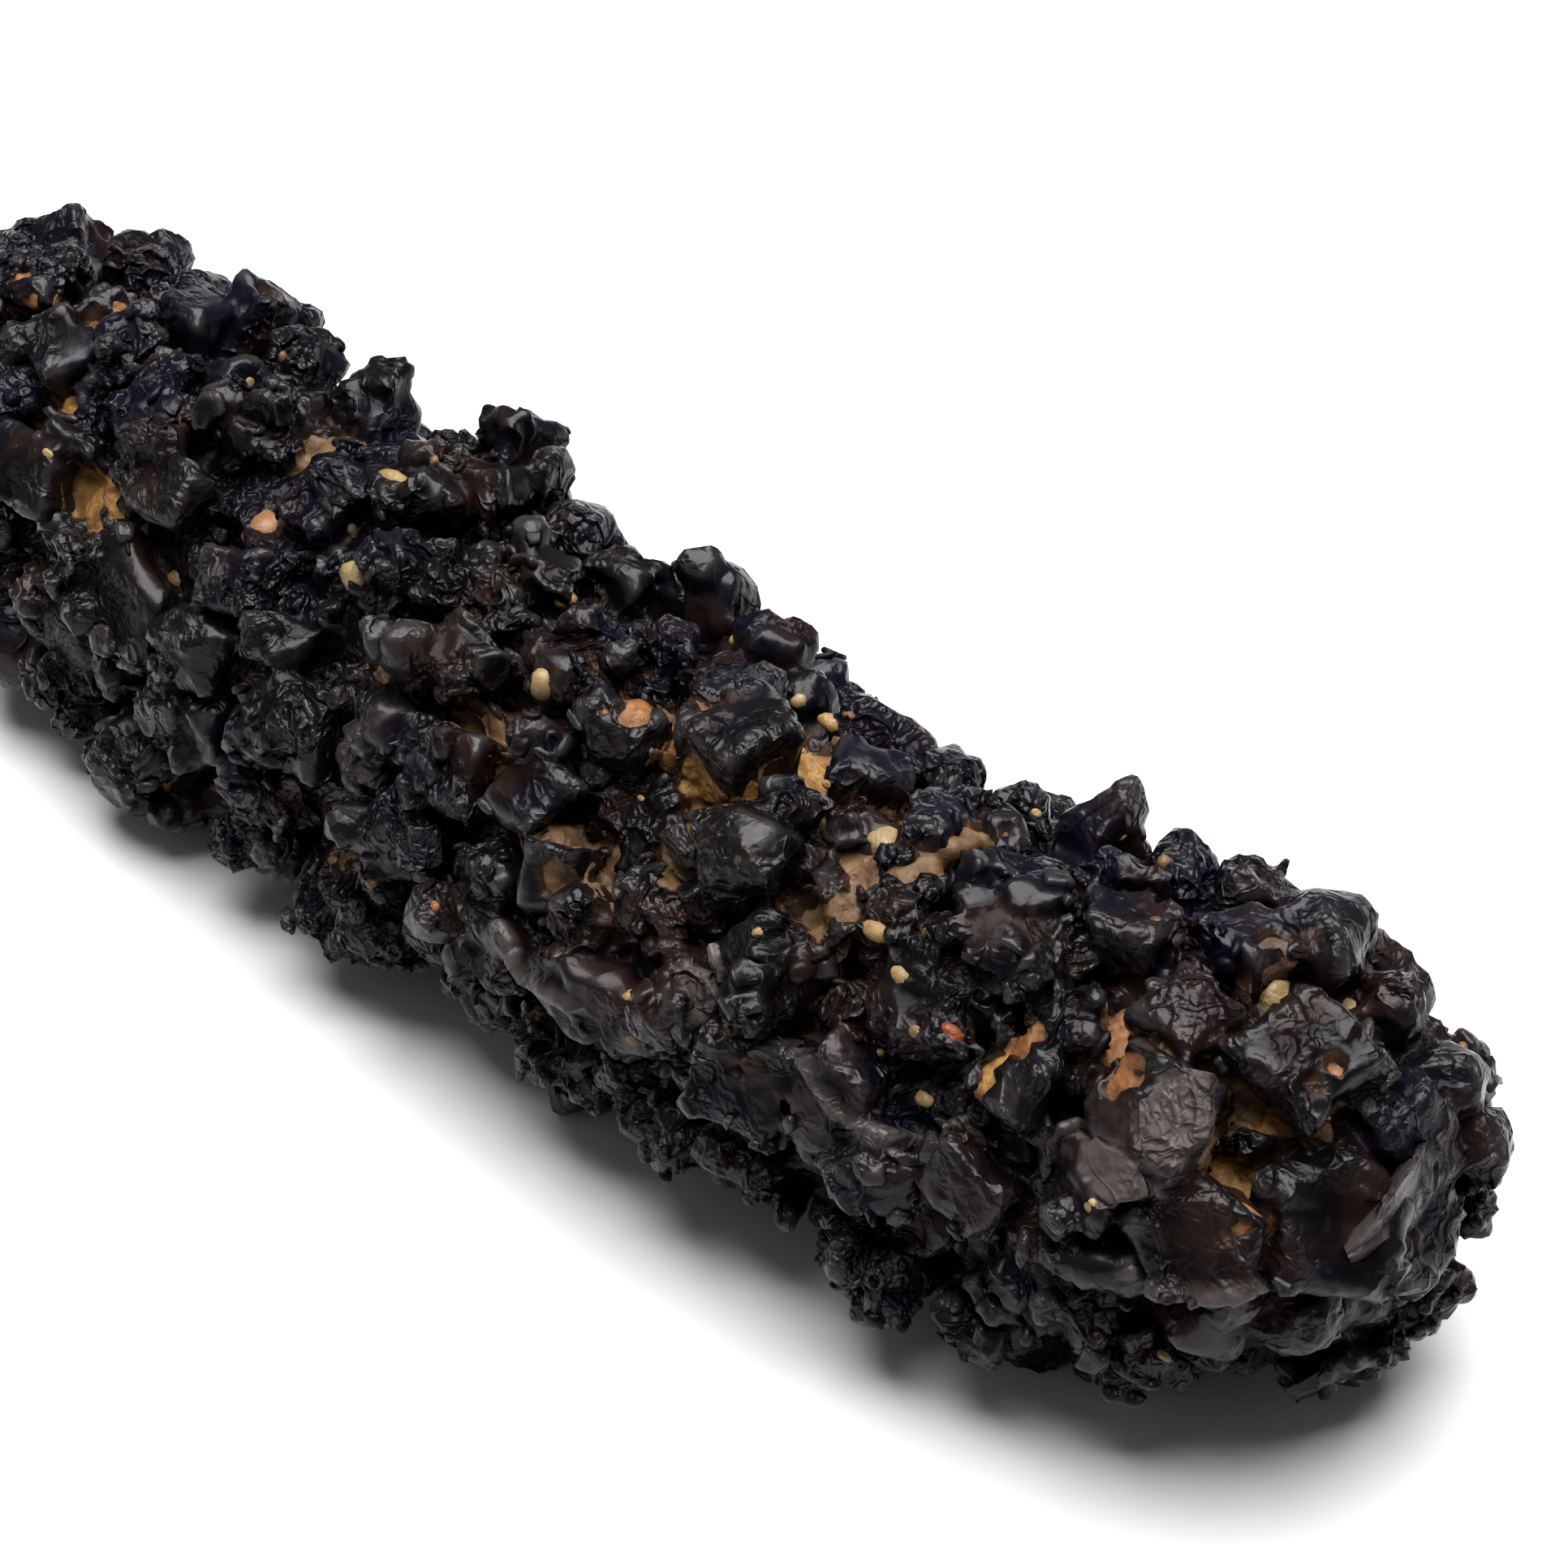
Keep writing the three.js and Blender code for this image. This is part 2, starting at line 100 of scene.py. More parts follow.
# Smooth crystals that stay bare of smaller ones: [along, around, reach in mm]
BARE_CRYSTALS = (
    (9.6, 4, 2.4), (13.4, 29, 2.3), (6.2, 19, 1.6), (25.9, 4, 1.6), (22.0, 18, 1.0), (30.9, 44, 2.2),
    (29.7, 62, 1.6), (33.4, 12, 2.7), (-17.8, 38, 2.2), (-17.4, 74, 2.2), (-8.4, -34, 1.6),
    (-16.4, 121, 1.8), (37.3, 40, 3.2), (10.2, 79, 1.8), (-20.6, 96, 2.0), (-12.8, 94, 1.8),
    (20.4, 72, 1.8), (1.5, -36, 1.2), (29.9, -28, 2.7), (38.3, 8, 2.6), (35.6, 4, 1.6), (36.6, -9, 1.9),
    (35.8, -35, 1.8), (33.4, -32, 1.8), (20.9, -36, 2.0), (34.2, 60, 2.3), (31.2, 80, 1.9), (26.3, 49, 1.5),
    (3.4, -36, 1.6), (-6.0, -35, 1.2), (-25.7, -31, 2.0), (-23.1, -33, 2.0), (-34.8, -34, 2.2),
    (-24.6, 60, 1.9), (-27.2, 20, 2.0), (-12.6, 70, 2.1), (4.5, 46, 1.5), (7.0, 59, 1.5), (17.0, 78, 1.8),
    (-25.4, 119, 2.2), (26.0, 76, 1.7), (14.0, -14, 1.5), (30.0, 23, 1.5), (-8.4, 54, 1.5), (-2.8, 54, 1.4),
    (6.1, -36, 1.5), (38.0, 66, 2.0), (-24.2, -13, 1.8), (36.5, 86, 2.6), (35.0, 105, 2.6),
    (37.8, 108, 2.4), (33.5, 95, 2.2), (38.4, 84, 2.2), (38.6, 130, 2.2),
)

# Thin plates that lie on the crust: [along, around, length, width]
FLAKES = ((31.4, 42, 2.7, 3.3), (30.4, 60, 3.0, 1.9), (-3.0, 66, 2.4, 1.6), (14.2, 64, 2.0, 1.5))

# The shell-like lip of the smooth crystal at the blunt end: [along, around] points of its inner crest and
# of its outer one
LIP = (
    ((38.3, 21), (38.5, 27), (38.5, 31), (38.5, 36), (38.5, 40), (38.4, 47), (38.1, 55)),
    ((38.4, 22), (39.2, 27), (39.5, 32), (39.5, 37), (39.5, 42), (39.3, 48), (38.7, 59)),
)

# Long raised folds: their [along, around] points
FOLDS = (
    ((31.8, 81), (32.6, 84), (35.3, 77), (36.2, 69)),
    ((19.0, 66), (20.6, 74), (22.6, 76), (24.4, 70)),
    ((5.0, 84), (6.6, 92), (8.8, 90)),
)

# Ochre in the hollows: [along, around, length, width, tone]
OCHRE = (
    (-31.5, 8, 2.6, 1.3, "orange"), (-27.2, -5, 1.9, 1.9, "orange"), (-24.5, 37, 2.1, 1.6, "honey"),
    (-21.0, 55, 3.8, 2.0, "honey"), (-13.5, 2, 1.6, 2.4, "tan"), (-3.3, 42, 1.8, 1.7, "brown"),
    (1.8, 37, 4.0, 2.0, "tan"), (6.0, 9, 3.6, 3.2, "orange"), (9.0, 56, 4.0, 2.0, "tan"),
    (9.5, 17, 2.0, 1.6, "honey"), (10.5, 20, 2.8, 1.4, "honey"), (11.0, 40, 1.6, 1.6, "tan"),
    (13.0, 0, 4.0, 3.2, "honey"), (11.5, 5, 2.0, 1.0, "honey"), (17.0, 30, 2.0, 2.0, "tan"),
    (17.0, 18, 2.4, 1.6, "tan"), (18.7, 57, 3.0, 1.8, "brown"), (19.0, 3, 1.8, 1.0, "tan"),
    (25.5, 40, 1.5, 1.2, "orange"), (25.2, 52, 1.0, 2.5, "honey"), (28.0, 30, 1.2, 2.6, "orange"),
    (29.0, 38, 1.6, 2.4, "orange"), (30.5, 5, 2.6, 1.2, "brown"), (32.3, 33, 1.8, 1.2, "tan"),
    (34.0, 33, 1.6, 1.2, "honey"), (35.2, 28, 1.5, 0.8, "orange"), (33.8, 50, 1.6, 1.5, "honey"),
    (34.5, 58, 1.0, 1.0, "orange"),
)

# Grains of sand set in the hollows: [along, around, length, width, tone]
GRAINS = (
    (-12.3, 30, 1.6, 1.9, "peach"), (-15.0, 58, 1.0, 1.0, "tan"), (-10.0, -3, 1.6, 0.8, "straw"),
    (-7.5, 27, 1.4, 1.2, "pale"), (-8.5, 24, 0.5, 0.5, "pale"), (-9.0, 18, 0.5, 0.5, "pale"),
    (-4.0, 24, 1.4, 1.1, "straw"), (-5.0, 110, 0.5, 0.5, "tan"), (0.0, 0, 1.0, 0.8, "straw"),
    (2.3, 23, 0.9, 1.3, "pale"), (1.5, 92, 0.5, 0.5, "orange"), (11.0, -20, 1.1, 0.6, "straw"),
    (16.8, 8, 1.3, 1.4, "pale"), (19.0, 32, 1.2, 0.8, "straw"), (20.7, 38, 1.0, 0.6, "pale"),
    (22.3, 48, 0.6, 0.5, "tan"), (21.6, 57, 0.4, 0.4, "straw"), (23.5, 45, 1.0, 0.8, "rust"),
    (23.7, 62, 1.0, 0.6, "straw"), (30.0, 70, 0.5, 0.5, "pale"), (31.0, 6, 1.2, 1.4, "pale"),
    (33.2, -3, 1.2, 0.8, "pale"),
)

TONES = {
    "honey": (0.205, 0.106, 0.030),
    "orange": (0.155, 0.062, 0.018),
    "tan": (0.094, 0.051, 0.021),
    "brown": (0.046, 0.024, 0.013),
    "rust": (0.125, 0.028, 0.010),
    "pale": (0.185, 0.132, 0.060),
    "straw": (0.190, 0.118, 0.044),
    "peach": (0.165, 0.080, 0.034),
}


# ---- Settings ------------------------------------------------------------------------------------

class CrustSettings(bpy.types.PropertyGroup):
    """The black crust: the solid's crystals, rounded, with lesser ones grown on them"""
    rounding: bpy.props.FloatProperty(
        name="Rounding voxel", description="Voxel that rounds the large crystals",
        default=0.00018, unit="LENGTH", precision=5)
    gaps: bpy.props.FloatProperty(
        name="Gap depth", description="How much the gaps between crystals are deepened",
        default=1.0)
    voxel: bpy.props.FloatProperty(
        name="Crust voxel", description="Voxel that joins all the crystals in one skin",
        default=0.00013, unit="LENGTH", precision=5)
    spacing: bpy.props.FloatProperty(
        name="Crystal spacing", description="Least distance between lesser crystals",
        default=0.0016, unit="LENGTH", precision=5)
    warp: bpy.props.FloatProperty(
        name="Warp", description="How far weathering has bent the crystals' faces",
        default=0.0006, unit="LENGTH", precision=5)
    relief: bpy.props.FloatProperty(
        name="Relief depth", description="How deep weathering has etched the faces",
        default=0.00022, unit="LENGTH", precision=5)
    triangles: bpy.props.IntProperty(
        name="Triangles", description="What the crust is thinned to",
        default=196000)


class DruseSettings(bpy.types.PropertyGroup):
    """Small crystals and worm-like ridges on the crust"""
    coarse_spacing: bpy.props.FloatProperty(
        name="Coarse spacing", description="Between small crystals",
        default=0.00095, unit="LENGTH", precision=5)
    fine_spacing: bpy.props.FloatProperty(
        name="Fine spacing", description="Between the finest ridges",
        default=0.0008, unit="LENGTH", precision=5)
    voxel: bpy.props.FloatProperty(
        name="Druse voxel", description="Voxel that fuses small crystals into crusts",
        default=0.0001, unit="LENGTH", precision=5)
    triangles: bpy.props.IntProperty(
        name="Triangles", description="What the coarse druse is thinned to",
        default=190000)


class StageSettings(bpy.types.PropertyGroup):
    """Floor, light and camera"""
    floor_size: bpy.props.FloatProperty(
        name="Floor size", description="Side of the floor",
        default=6.0, unit="LENGTH")
    floor_colour: bpy.props.FloatVectorProperty(
        name="Floor colour", description="Plain pale floor",
        default=(0.53, 0.53, 0.54), size=3, subtype="COLOR")
    azimuth: bpy.props.FloatProperty(
        name="Azimuth", description="Camera's bearing from -Y towards +X",
        default=math.radians(44), unit="ROTATION")
    elevation: bpy.props.FloatProperty(
        name="Elevation", description="Camera's height above the floor",
        default=math.radians(40), unit="ROTATION")
    distance: bpy.props.FloatProperty(
        name="Distance", description="Camera to the point it looks at",
        default=0.18, unit="LENGTH")
    lens: bpy.props.FloatProperty(
        name="Lens", description="Focal length in mm",
        default=117.4)


# ---- Places on the stone -------------------------------------------------------------------------

def axis_at(along):
    """The rod's axis, in metres, at mm along it"""
    side = np.interp(along, AXIS_ALONG, AXIS_SIDE) + ROD_SHIFT[1]
    return Vector((along + ROD_SHIFT[0], side, np.interp(along, AXIS_ALONG, AXIS_UP))) * MM


def outward(around):
    """The way out of the rod at degrees around it"""
    angle = math.radians(around)
    return Vector((0, -math.sin(angle), math.cos(angle)))


def bearings(points):
    """Degrees around the rod at which points in metres lie"""
    along = points[:, 0] / MM - ROD_SHIFT[0]
    side = points[:, 1] / MM - ROD_SHIFT[1] - np.interp(along, AXIS_ALONG, AXIS_SIDE)
    up = points[:, 2] / MM - np.interp(along, AXIS_ALONG, AXIS_UP)
    return np.degrees(np.arctan2(-side, up))


def eye_point():
    """Where the camera stands"""
    stage = bpy.context.scene.stone_stage
    flat = math.cos(stage.elevation)
    back = Vector((math.sin(stage.azimuth) * flat, -math.cos(stage.azimuth) * flat,
                   math.sin(stage.elevation)))
    return LOOKED_AT + back * stage.distance


LOOKED_AT = Vector((8.85, 1.92, 11.6)) * MM
FOLD_SIZE = 1.45  # mm between the skin's winding folds
AIM_RISE = 0.6  # mm above the rod's skin at which places were read
FACING = 0.15  # least cosine between a side's way out and the camera at which it is seen
OUTSIDE = 0.03  # m from the rod's axis, well clear of the stone


def sideways(out):
    """The way round the rod, square to a way out of it"""
    return out.cross(Vector((1, 0, 0))).normalized()


def turned_to(out):
    """A turn that lays Z along a way out of the rod, and X along it"""
    across = sideways(out)
    return Matrix((across.cross(out), across, out)).transposed().to_4x4()


def landing(tree, along, around):
    """Where a place lies on a surface, and the surface's way out there. It is sought along the camera's line
    of sight where it faces the camera, so that nothing slides with the height of what it lies on."""
    radius = (np.interp(along, AXIS_ALONG, ROD_RADIUS) + AIM_RISE) * MM
    out = outward(around)
    aim = axis_at(along) + out * radius
    eye = eye_point()
    if out.dot((eye - aim).normalized()) > FACING:
        hit, normal, _, _ = tree.ray_cast(eye, (aim - eye).normalized())
        if hit is not None:
            return hit, normal
    hit, normal, _, _ = tree.ray_cast(axis_at(along) + out * OUTSIDE, -out)
    return (aim, out) if hit is None else (hit, normal)


# ---- Meshes --------------------------------------------------------------------------------------

def linked(name, mesh):
    """A new object in the scene"""
    piece = bpy.data.objects.new(name, mesh)
    bpy.context.scene.collection.objects.link(piece)
    return piece


def discard(piece):
    """Takes an object and its mesh out of the file"""
    mesh = piece.data
    bpy.data.objects.remove(piece)
    if mesh.users == 0:
        bpy.data.meshes.remove(mesh)


def settled(piece):
    """Turns an object's modifiers into plain mesh"""
    graph = bpy.context.evaluated_depsgraph_get()
    result = bpy.data.meshes.new_from_object(piece.evaluated_get(graph), preserve_all_data_layers=True,
                                             depsgraph=graph)
    old = piece.data
    piece.modifiers.clear()
    piece.data = result
    result.name = piece.name
    if old.users == 0:
        bpy.data.meshes.remove(old)
    return piece


def remeshed(piece, voxel):
    """Joins all that overlaps in a mesh into one skin"""
    modifier = piece.modifiers.new("Join", "REMESH")
    modifier.mode = "VOXEL"
    modifier.voxel_size = voxel
    modifier.use_smooth_shade = True
    return settled(piece)


def smoothed(piece, times):
    """Rounds a mesh"""
    modifier = piece.modifiers.new("Round", "SMOOTH")
    modifier.factor = 0.5
    modifier.iterations = times
    return settled(piece)


def thinned(piece, triangles):
    """Thins a mesh to about this many triangles"""
    piece.data.calc_loop_triangles()
    count = len(piece.data.loop_triangles)
    if count > triangles:
        modifier = piece.modifiers.new("Thin", "DECIMATE")
        modifier.ratio = triangles / count
        modifier.use_collapse_triangulate = True
        settled(piece)
    piece.data.shade_smooth()
    return piece


def mesh_from(bm, name):
    """A mesh of a bmesh, which is freed"""
    mesh = bpy.data.meshes.new(name)
    bm.to_mesh(mesh)
    bm.free()
    return mesh


def joined(name, pieces):
    """One object of several, which are discarded"""
    bm = bmesh.new()
    for piece in pieces:
        bm.from_mesh(piece.data)
    mesh = mesh_from(bm, name)
    for piece in pieces:
        discard(piece)
    return linked(name, mesh)


def gathered(items, key, width=1, kind=np.float32):
    """One property of every vertex or edge as an array, with a row for each where it has several numbers"""
    values = np.empty(len(items) * width, kind)
    items.foreach_get(key, values)
    return values.reshape(-1, width) if width > 1 else values


def corners(mesh):
    """A mesh's vertices as an array"""
    return gathered(mesh.vertices, "co", 3).astype(float)


def reshape(mesh, points):
    """Moves a mesh's vertices to these points"""
    mesh.vertices.foreach_set("co", points.astype(np.float32).ravel())
    mesh.update()


def paint(mesh, name, values):
    """Stores a number at each vertex: its own, or one for all"""
    old = mesh.attributes.get(name)
    if old is not None:
        mesh.attributes.remove(old)
    numbers = np.full(len(mesh.vertices), values, np.float32)
    mesh.attributes.new(name, "FLOAT", "POINT").data.foreach_set("value", numbers)


def painted(mesh, name):
    """The numbers stored at each vertex"""
    return gathered(mesh.attributes[name].data, "value").astype(float)


def tree_of(mesh):
    """A mesh ready to be struck by rays"""
    bm = bmesh.new()
    bm.from_mesh(mesh)
    tree = BVHTree.FromBMesh(bm)
    bm.free()
    return tree


# ---- Node helpers --------------------------------------------------------------------------------

class Wiring:
    """Adds nodes to a tree and feeds their inputs with values or other nodes' outputs"""

    def __init__(self, tree):
        self.tree = tree

    def add(self, kind, feeds=None, **settings):
        node = self.tree.nodes.new(kind)
        for name, value in settings.items():
            setattr(node, name, value)
        for key, value in (feeds or {}).items():
            self.feed(self.socket(node, key), value)
        return node

    @staticmethod
    def socket(node, key):
        if isinstance(key, int):
            return node.inputs[key]
        return next(s for s in node.inputs if s.name == key and s.enabled)

    def feed(self, socket, value):
        if isinstance(value, bpy.types.Node):
            value = self.socket_out(value)
        if isinstance(value, bpy.types.NodeSocket):
            self.tree.links.new(value, socket)
        else:
            socket.default_value = value

    @staticmethod
    def socket_out(node):
        return next(s for s in node.outputs if s.enabled)

    def math(self, operation, *values, clamp=False):
        return self.add("ShaderNodeMath", dict(enumerate(values)), operation=operation, use_clamp=clamp)

    def plus(self, first, second):
        return self.math("ADD", first, second)

    def minus(self, first, second):
        return self.math("SUBTRACT", first, second)

    def times(self, first, second, clamp=False):
        return self.math("MULTIPLY", first, second, clamp=clamp)

    def vector(self, operation, *values, scale=None):
        node = self.add("ShaderNodeVectorMath", dict(enumerate(values)), operation=operation)
        if scale is not None:
            self.feed(node.inputs["Scale"], scale)
        return node

    def range(self, value, low, high, to_low=0.0, to_high=1.0, smooth=False):
        feeds = {"Value": value, "From Min": low, "From Max": high, "To Min": to_low, "To Max": to_high}
        return self.add("ShaderNodeMapRange", feeds, interpolation_type="SMOOTHSTEP" if smooth else "LINEAR")

    def noise(self, vector, scale, detail=2.0, roughness=0.5, distortion=0.0):
        feeds = {"Vector": vector, "Scale": scale, "Detail": detail, "Roughness": roughness,
                 "Distortion": distortion}
        return self.add("ShaderNodeTexNoise", feeds)

    def cells(self, vector, scale, smoothness=None, metric="EUCLIDEAN"):
        feeds = {"Vector": vector, "Scale": scale}
        if smoothness is None:
            return self.add("ShaderNodeTexVoronoi", feeds, feature="F1", distance=metric)
        feeds["Smoothness"] = smoothness
        return self.add("ShaderNodeTexVoronoi", feeds, feature="SMOOTH_F1", distance=metric)

    def facets(self, place, size, warp=0.35, flat=0.2):
        """Angular lumps with straight slopes and flat tops, about size across and -0.5 to 0.3 high"""
        turned = self.add("ShaderNodeVectorRotate", {"Vector": place, "Rotation": (0.6, 0.9, 0.4)},
                          rotation_type="EULER_XYZ")
        drift = self.add("ShaderNodeTexNoise", {"Vector": place, "Scale": 0.6, "Detail": 1.0})
        sway = self.vector("SUBTRACT", drift.outputs["Color"], (0.5, 0.5, 0.5))
        bent = self.vector("ADD", turned, self.vector("SCALE", sway, scale=warp * 4))
        lattice = self.cells(bent, self.math("DIVIDE", 1.0, size), metric="MANHATTAN")
        return self.minus(0.5, self.math("MAXIMUM", lattice.outputs["Distance"], flat))

    def stored(self, attribute, output="Fac"):
        node = self.add("ShaderNodeAttribute", attribute_type="GEOMETRY", attribute_name=attribute)
        return node.outputs[output]

    def effect(self, name, maker, feeds):
        return self.add("ShaderNodeGroup", feeds, node_tree=tree_named(name, maker))

    def mixed(self, factor, first, second, blend="MIX"):
        feeds = {"Factor": factor, "A": first, "B": second}
        return self.socket_out(self.add("ShaderNodeMix", feeds, data_type="RGBA", blend_type=blend))


def group_tree(name, kind, inputs, outputs):
    """A node group with named inputs and outputs, each with its socket's type, or a number as its default"""
    tree = bpy.data.node_groups.new(name, kind)
    for label, value in inputs.items():
        socket = {float: "Float", int: "Int"}.get(type(value), value)
        item = tree.interface.new_socket(name=label, in_out="INPUT", socket_type=f"NodeSocket{socket}")
        if value != socket:
            item.default_value = value
    for label, socket in outputs.items():
        tree.interface.new_socket(name=label, in_out="OUTPUT", socket_type=f"NodeSocket{socket}")
    wiring = Wiring(tree)
    entry = wiring.add("NodeGroupInput")
    leave = wiring.add("NodeGroupOutput")
    return wiring, entry.outputs, leave.inputs


def tree_named(name, maker):
    """A node group, made on first use"""
    return bpy.data.node_groups.get(name) or maker()


def apply_nodes(piece, tree, **values):
    """Runs a Geometry Nodes tree on an object, its named inputs set, and keeps the result as plain mesh"""
    modifier = piece.modifiers.new(tree.name, "NODES")
    modifier.node_group = tree
    names = {item.name: item.identifier for item in tree.interface.items_tree
             if item.item_type == "SOCKET" and item.in_out == "INPUT"}
    for label, value in values.items():
        modifier[names[label.replace("_", " ").capitalize()]] = value
    return settled(piece)


# ---- Geometry Nodes trees ------------------------------------------------------------------------

def scatter_tree():
    """Small bodies strewn over a surface, each turned to stand on it, sized and sunk by chance"""
    w, entry, leave = group_tree("Strewn Crystals", "GeometryNodeTree", {
        "Geometry": "Geometry", "Bodies": "Collection", "Spacing": 0.001, "Least": 0.0005, "Most": 0.001,
        "Sink": 0.2, "Lean": 0.4, "Where": "String", "Clumping": 0.0, "Clump size": 5.0, "Seed": 1,
        "Finish": "Material",
    }, {"Geometry": "Geometry"})
    room = w.add("GeometryNodeInputNamedAttribute", {"Name": entry["Where"]}, data_type="FLOAT")
    place = w.vector("SCALE", w.add("GeometryNodeInputPosition"), scale=1 / MM)
    shift = w.vector("ADD", place, w.add("ShaderNodeCombineXYZ", {0: w.times(entry["Seed"], 7.3)}))
    drift = w.noise(shift, w.math("DIVIDE", 1.0, entry["Clump size"]), 1.0)
    clump = w.range(drift, 0.50, 0.58, w.minus(1.0, entry["Clumping"]), 1.0, smooth=True)
    spread = w.add("GeometryNodeDistributePointsOnFaces", {
        "Mesh": entry["Geometry"], "Distance Min": entry["Spacing"], "Density Max": CROWD,
        "Density Factor": w.times(room.outputs[0], clump), "Seed": entry["Seed"],
    }, distribute_method="POISSON")
    bodies = w.add("GeometryNodeCollectionInfo", {"Collection": entry["Bodies"], "Separate Children": True,
                                                  "Reset Children": True})

    def chance(low, high, offset, kind="FLOAT"):
        seed = w.plus(entry["Seed"], float(offset))
        return w.add("FunctionNodeRandomValue", {"Min": low, "Max": high, "Seed": seed}, data_type=kind)

    size = chance(entry["Least"], entry["Most"], 11)
    squash = chance((0.75, 0.75, 0.6), (1.35, 1.1, 1.15), 12, "FLOAT_VECTOR")
    scale = w.vector("SCALE", squash, scale=size)
    placed = w.add("GeometryNodeInstanceOnPoints", {
        "Points": spread.outputs["Points"], "Instance": bodies, "Pick Instance": True,
        "Instance Index": chance(0, 1000, 13, "INT"), "Rotation": spread.outputs["Rotation"],
        "Scale": scale})
    lean = w.add("ShaderNodeCombineXYZ", {0: chance(-1.0, 1.0, 14), 1: chance(-1.0, 1.0, 15), 2: 0.0})
    tilt = w.vector("SCALE", lean, scale=entry["Lean"])
    spin = w.add("ShaderNodeCombineXYZ", {0: 0.0, 1: 0.0, 2: chance(0.0, 2 * math.pi, 16)})
    turn = w.vector("ADD", tilt, spin)
    turned = w.add("GeometryNodeRotateInstances",
                   {"Instances": placed, "Rotation": turn, "Local Space": True})
    depth = w.times(w.times(size, entry["Sink"]), -1.0)
    drop = w.add("ShaderNodeCombineXYZ", {0: 0.0, 1: 0.0, 2: depth})
    sunk = w.add("GeometryNodeTranslateInstances",
                 {"Instances": turned, "Translation": drop, "Local Space": True})
    real = w.add("GeometryNodeRealizeInstances", {"Geometry": sunk})
    smooth = w.add("GeometryNodeSetShadeSmooth", {"Geometry": real, "Shade Smooth": True})
    w.feed(leave[0], w.add("GeometryNodeSetMaterial", {"Geometry": smooth, "Material": entry["Finish"]}))
    return w.tree


def relief_tree():
    """Weathered relief: broad dents, lumps and worm-like ridges raised along the surface's normals"""
    w, entry, leave = group_tree("Weathered Relief", "GeometryNodeTree", {
        "Geometry": "Geometry", "Depth": 0.0002, "Dent size": 3.4, "Lump size": 1.5, "Worm size": 1.35,
        "Worms": 1.0, "Calm": 0.0, "Warp": 0.0, "Warp size": 2.4, "Finish": "Material",
    }, {"Geometry": "Geometry"})
    place = w.vector("SCALE", w.add("GeometryNodeInputPosition"), scale=1 / MM)
    dents = w.minus(w.noise(place, w.math("DIVIDE", 1.0, entry["Dent size"]), 1.0), 0.5)
    lumps = w.facets(place, entry["Lump size"])
    worm_noise = w.noise(place, w.math("DIVIDE", 1.0, entry["Worm size"]), 1.0, 0.4, 0.8)
    off_crest = w.math("ABSOLUTE", w.minus(worm_noise, 0.5))
    worms = w.math("POWER", w.minus(1.0, w.times(off_crest, 9.0, clamp=True)), 1.3)
    roughness = w.noise(w.vector("ADD", place, (31.0, 7.0, 13.0)), 0.24, 1.0)
    rough = w.range(roughness, 0.42, 0.58, 0.15, 1.0, smooth=True)
    room = w.add("GeometryNodeInputNamedAttribute", {"Name": "room"}, data_type="FLOAT")
    lively = w.times(rough, w.math("MAXIMUM", room.outputs[0], entry["Calm"]))
    fine = w.plus(w.times(lumps, 1.5), w.times(worms, entry["Worms"]))
    height = w.plus(w.times(dents, 1.6), w.times(fine, lively))
    reach = w.times(height, entry["Depth"])
    push = w.vector("SCALE", w.add("GeometryNodeInputNormal"), scale=reach)
    sway = w.add("ShaderNodeTexNoise", {"Vector": w.vector("ADD", place, (9.0, 2.0, 6.0)), "Detail": 1.5,
                                        "Scale": w.math("DIVIDE", 1.0, entry["Warp size"])})
    drift = w.vector("SUBTRACT", sway.outputs["Color"], (0.5, 0.5, 0.5))
    offset = w.vector("ADD", push, w.vector("SCALE", drift, scale=entry["Warp"]))
    moved = w.add("GeometryNodeSetPosition", {"Geometry": entry["Geometry"], "Offset": offset})
    real = w.add("GeometryNodeRealizeInstances", {"Geometry": moved})
    w.feed(leave[0], w.add("GeometryNodeSetMaterial", {"Geometry": real, "Material": entry["Finish"]}))
    return w.tree


# ---- Materials -----------------------------------------------------------------------------------

# Colours of the oxide: plain, bluish (partly a painted sheen), rusted, stained near ochre, on thin plates,
# and paler on corners and crests (partly rubbed, partly painted highlights)
DENSE = (0.0017, 0.0012, 0.0015, 1)
# Bluish: partly the oxide's own tone, partly a painted bluish sheen on the far side
BLUISH_SHEEN = (0.0018, 0.0016, 0.0042, 1)
RUSTED = (0.0095, 0.0044, 0.0032, 1)
STAINED = (0.022, 0.0112, 0.0066, 1)
PLATE = (0.050, 0.0415, 0.0395, 1)
# Paler colours of corners and crests: partly rubbed, partly painted highlights
RUBBED_AND_HIGHLIT_CRUST = (0.0160, 0.0135, 0.0135, 1)
RUBBED_AND_HIGHLIT_DRUSE = (0.0152, 0.0130, 0.0130, 1)
# Colours in the ochre: what mottling multiplies it by, where it is thin over the oxide, and its dark specks
MOTTLE = (0.42, 0.32, 0.24, 1)
THIN_OCHRE = (0.055, 0.030, 0.017, 1)
SPECK = (0.02, 0.012, 0.008, 1)
# How strongly each surface mirrors: the oxide itself, its coat on proud corners (polish, with painted shade
# where the coat is taken out of hollows), and sand
OXIDE_IOR = 1.12
COAT_IOR = 1.225
SAND_IOR = 1.32
OXIDE_ROUGHNESS = 0.35


def edge_wear_and_highlight_group():
    """Where corners are paler, partly rubbed and partly a painted highlight: a mask from how proud a place
    is, broken up by noise
    """
    w, entry, leave = group_tree("Edge Wear", "ShaderNodeTree", {
        "Place": "Vector", "Proudness": 0.5, "Patchiness": 0.35,
    }, {"Mask": "Float"})
    breaks = w.minus(w.noise(entry["Place"], 1.3, 3.0), 0.5)
    worn_and_highlit = w.plus(entry["Proudness"], w.times(breaks, entry["Patchiness"]))
    w.feed(leave[0], w.range(worn_and_highlit, 0.80, 1.06, smooth=True))
    return w.tree


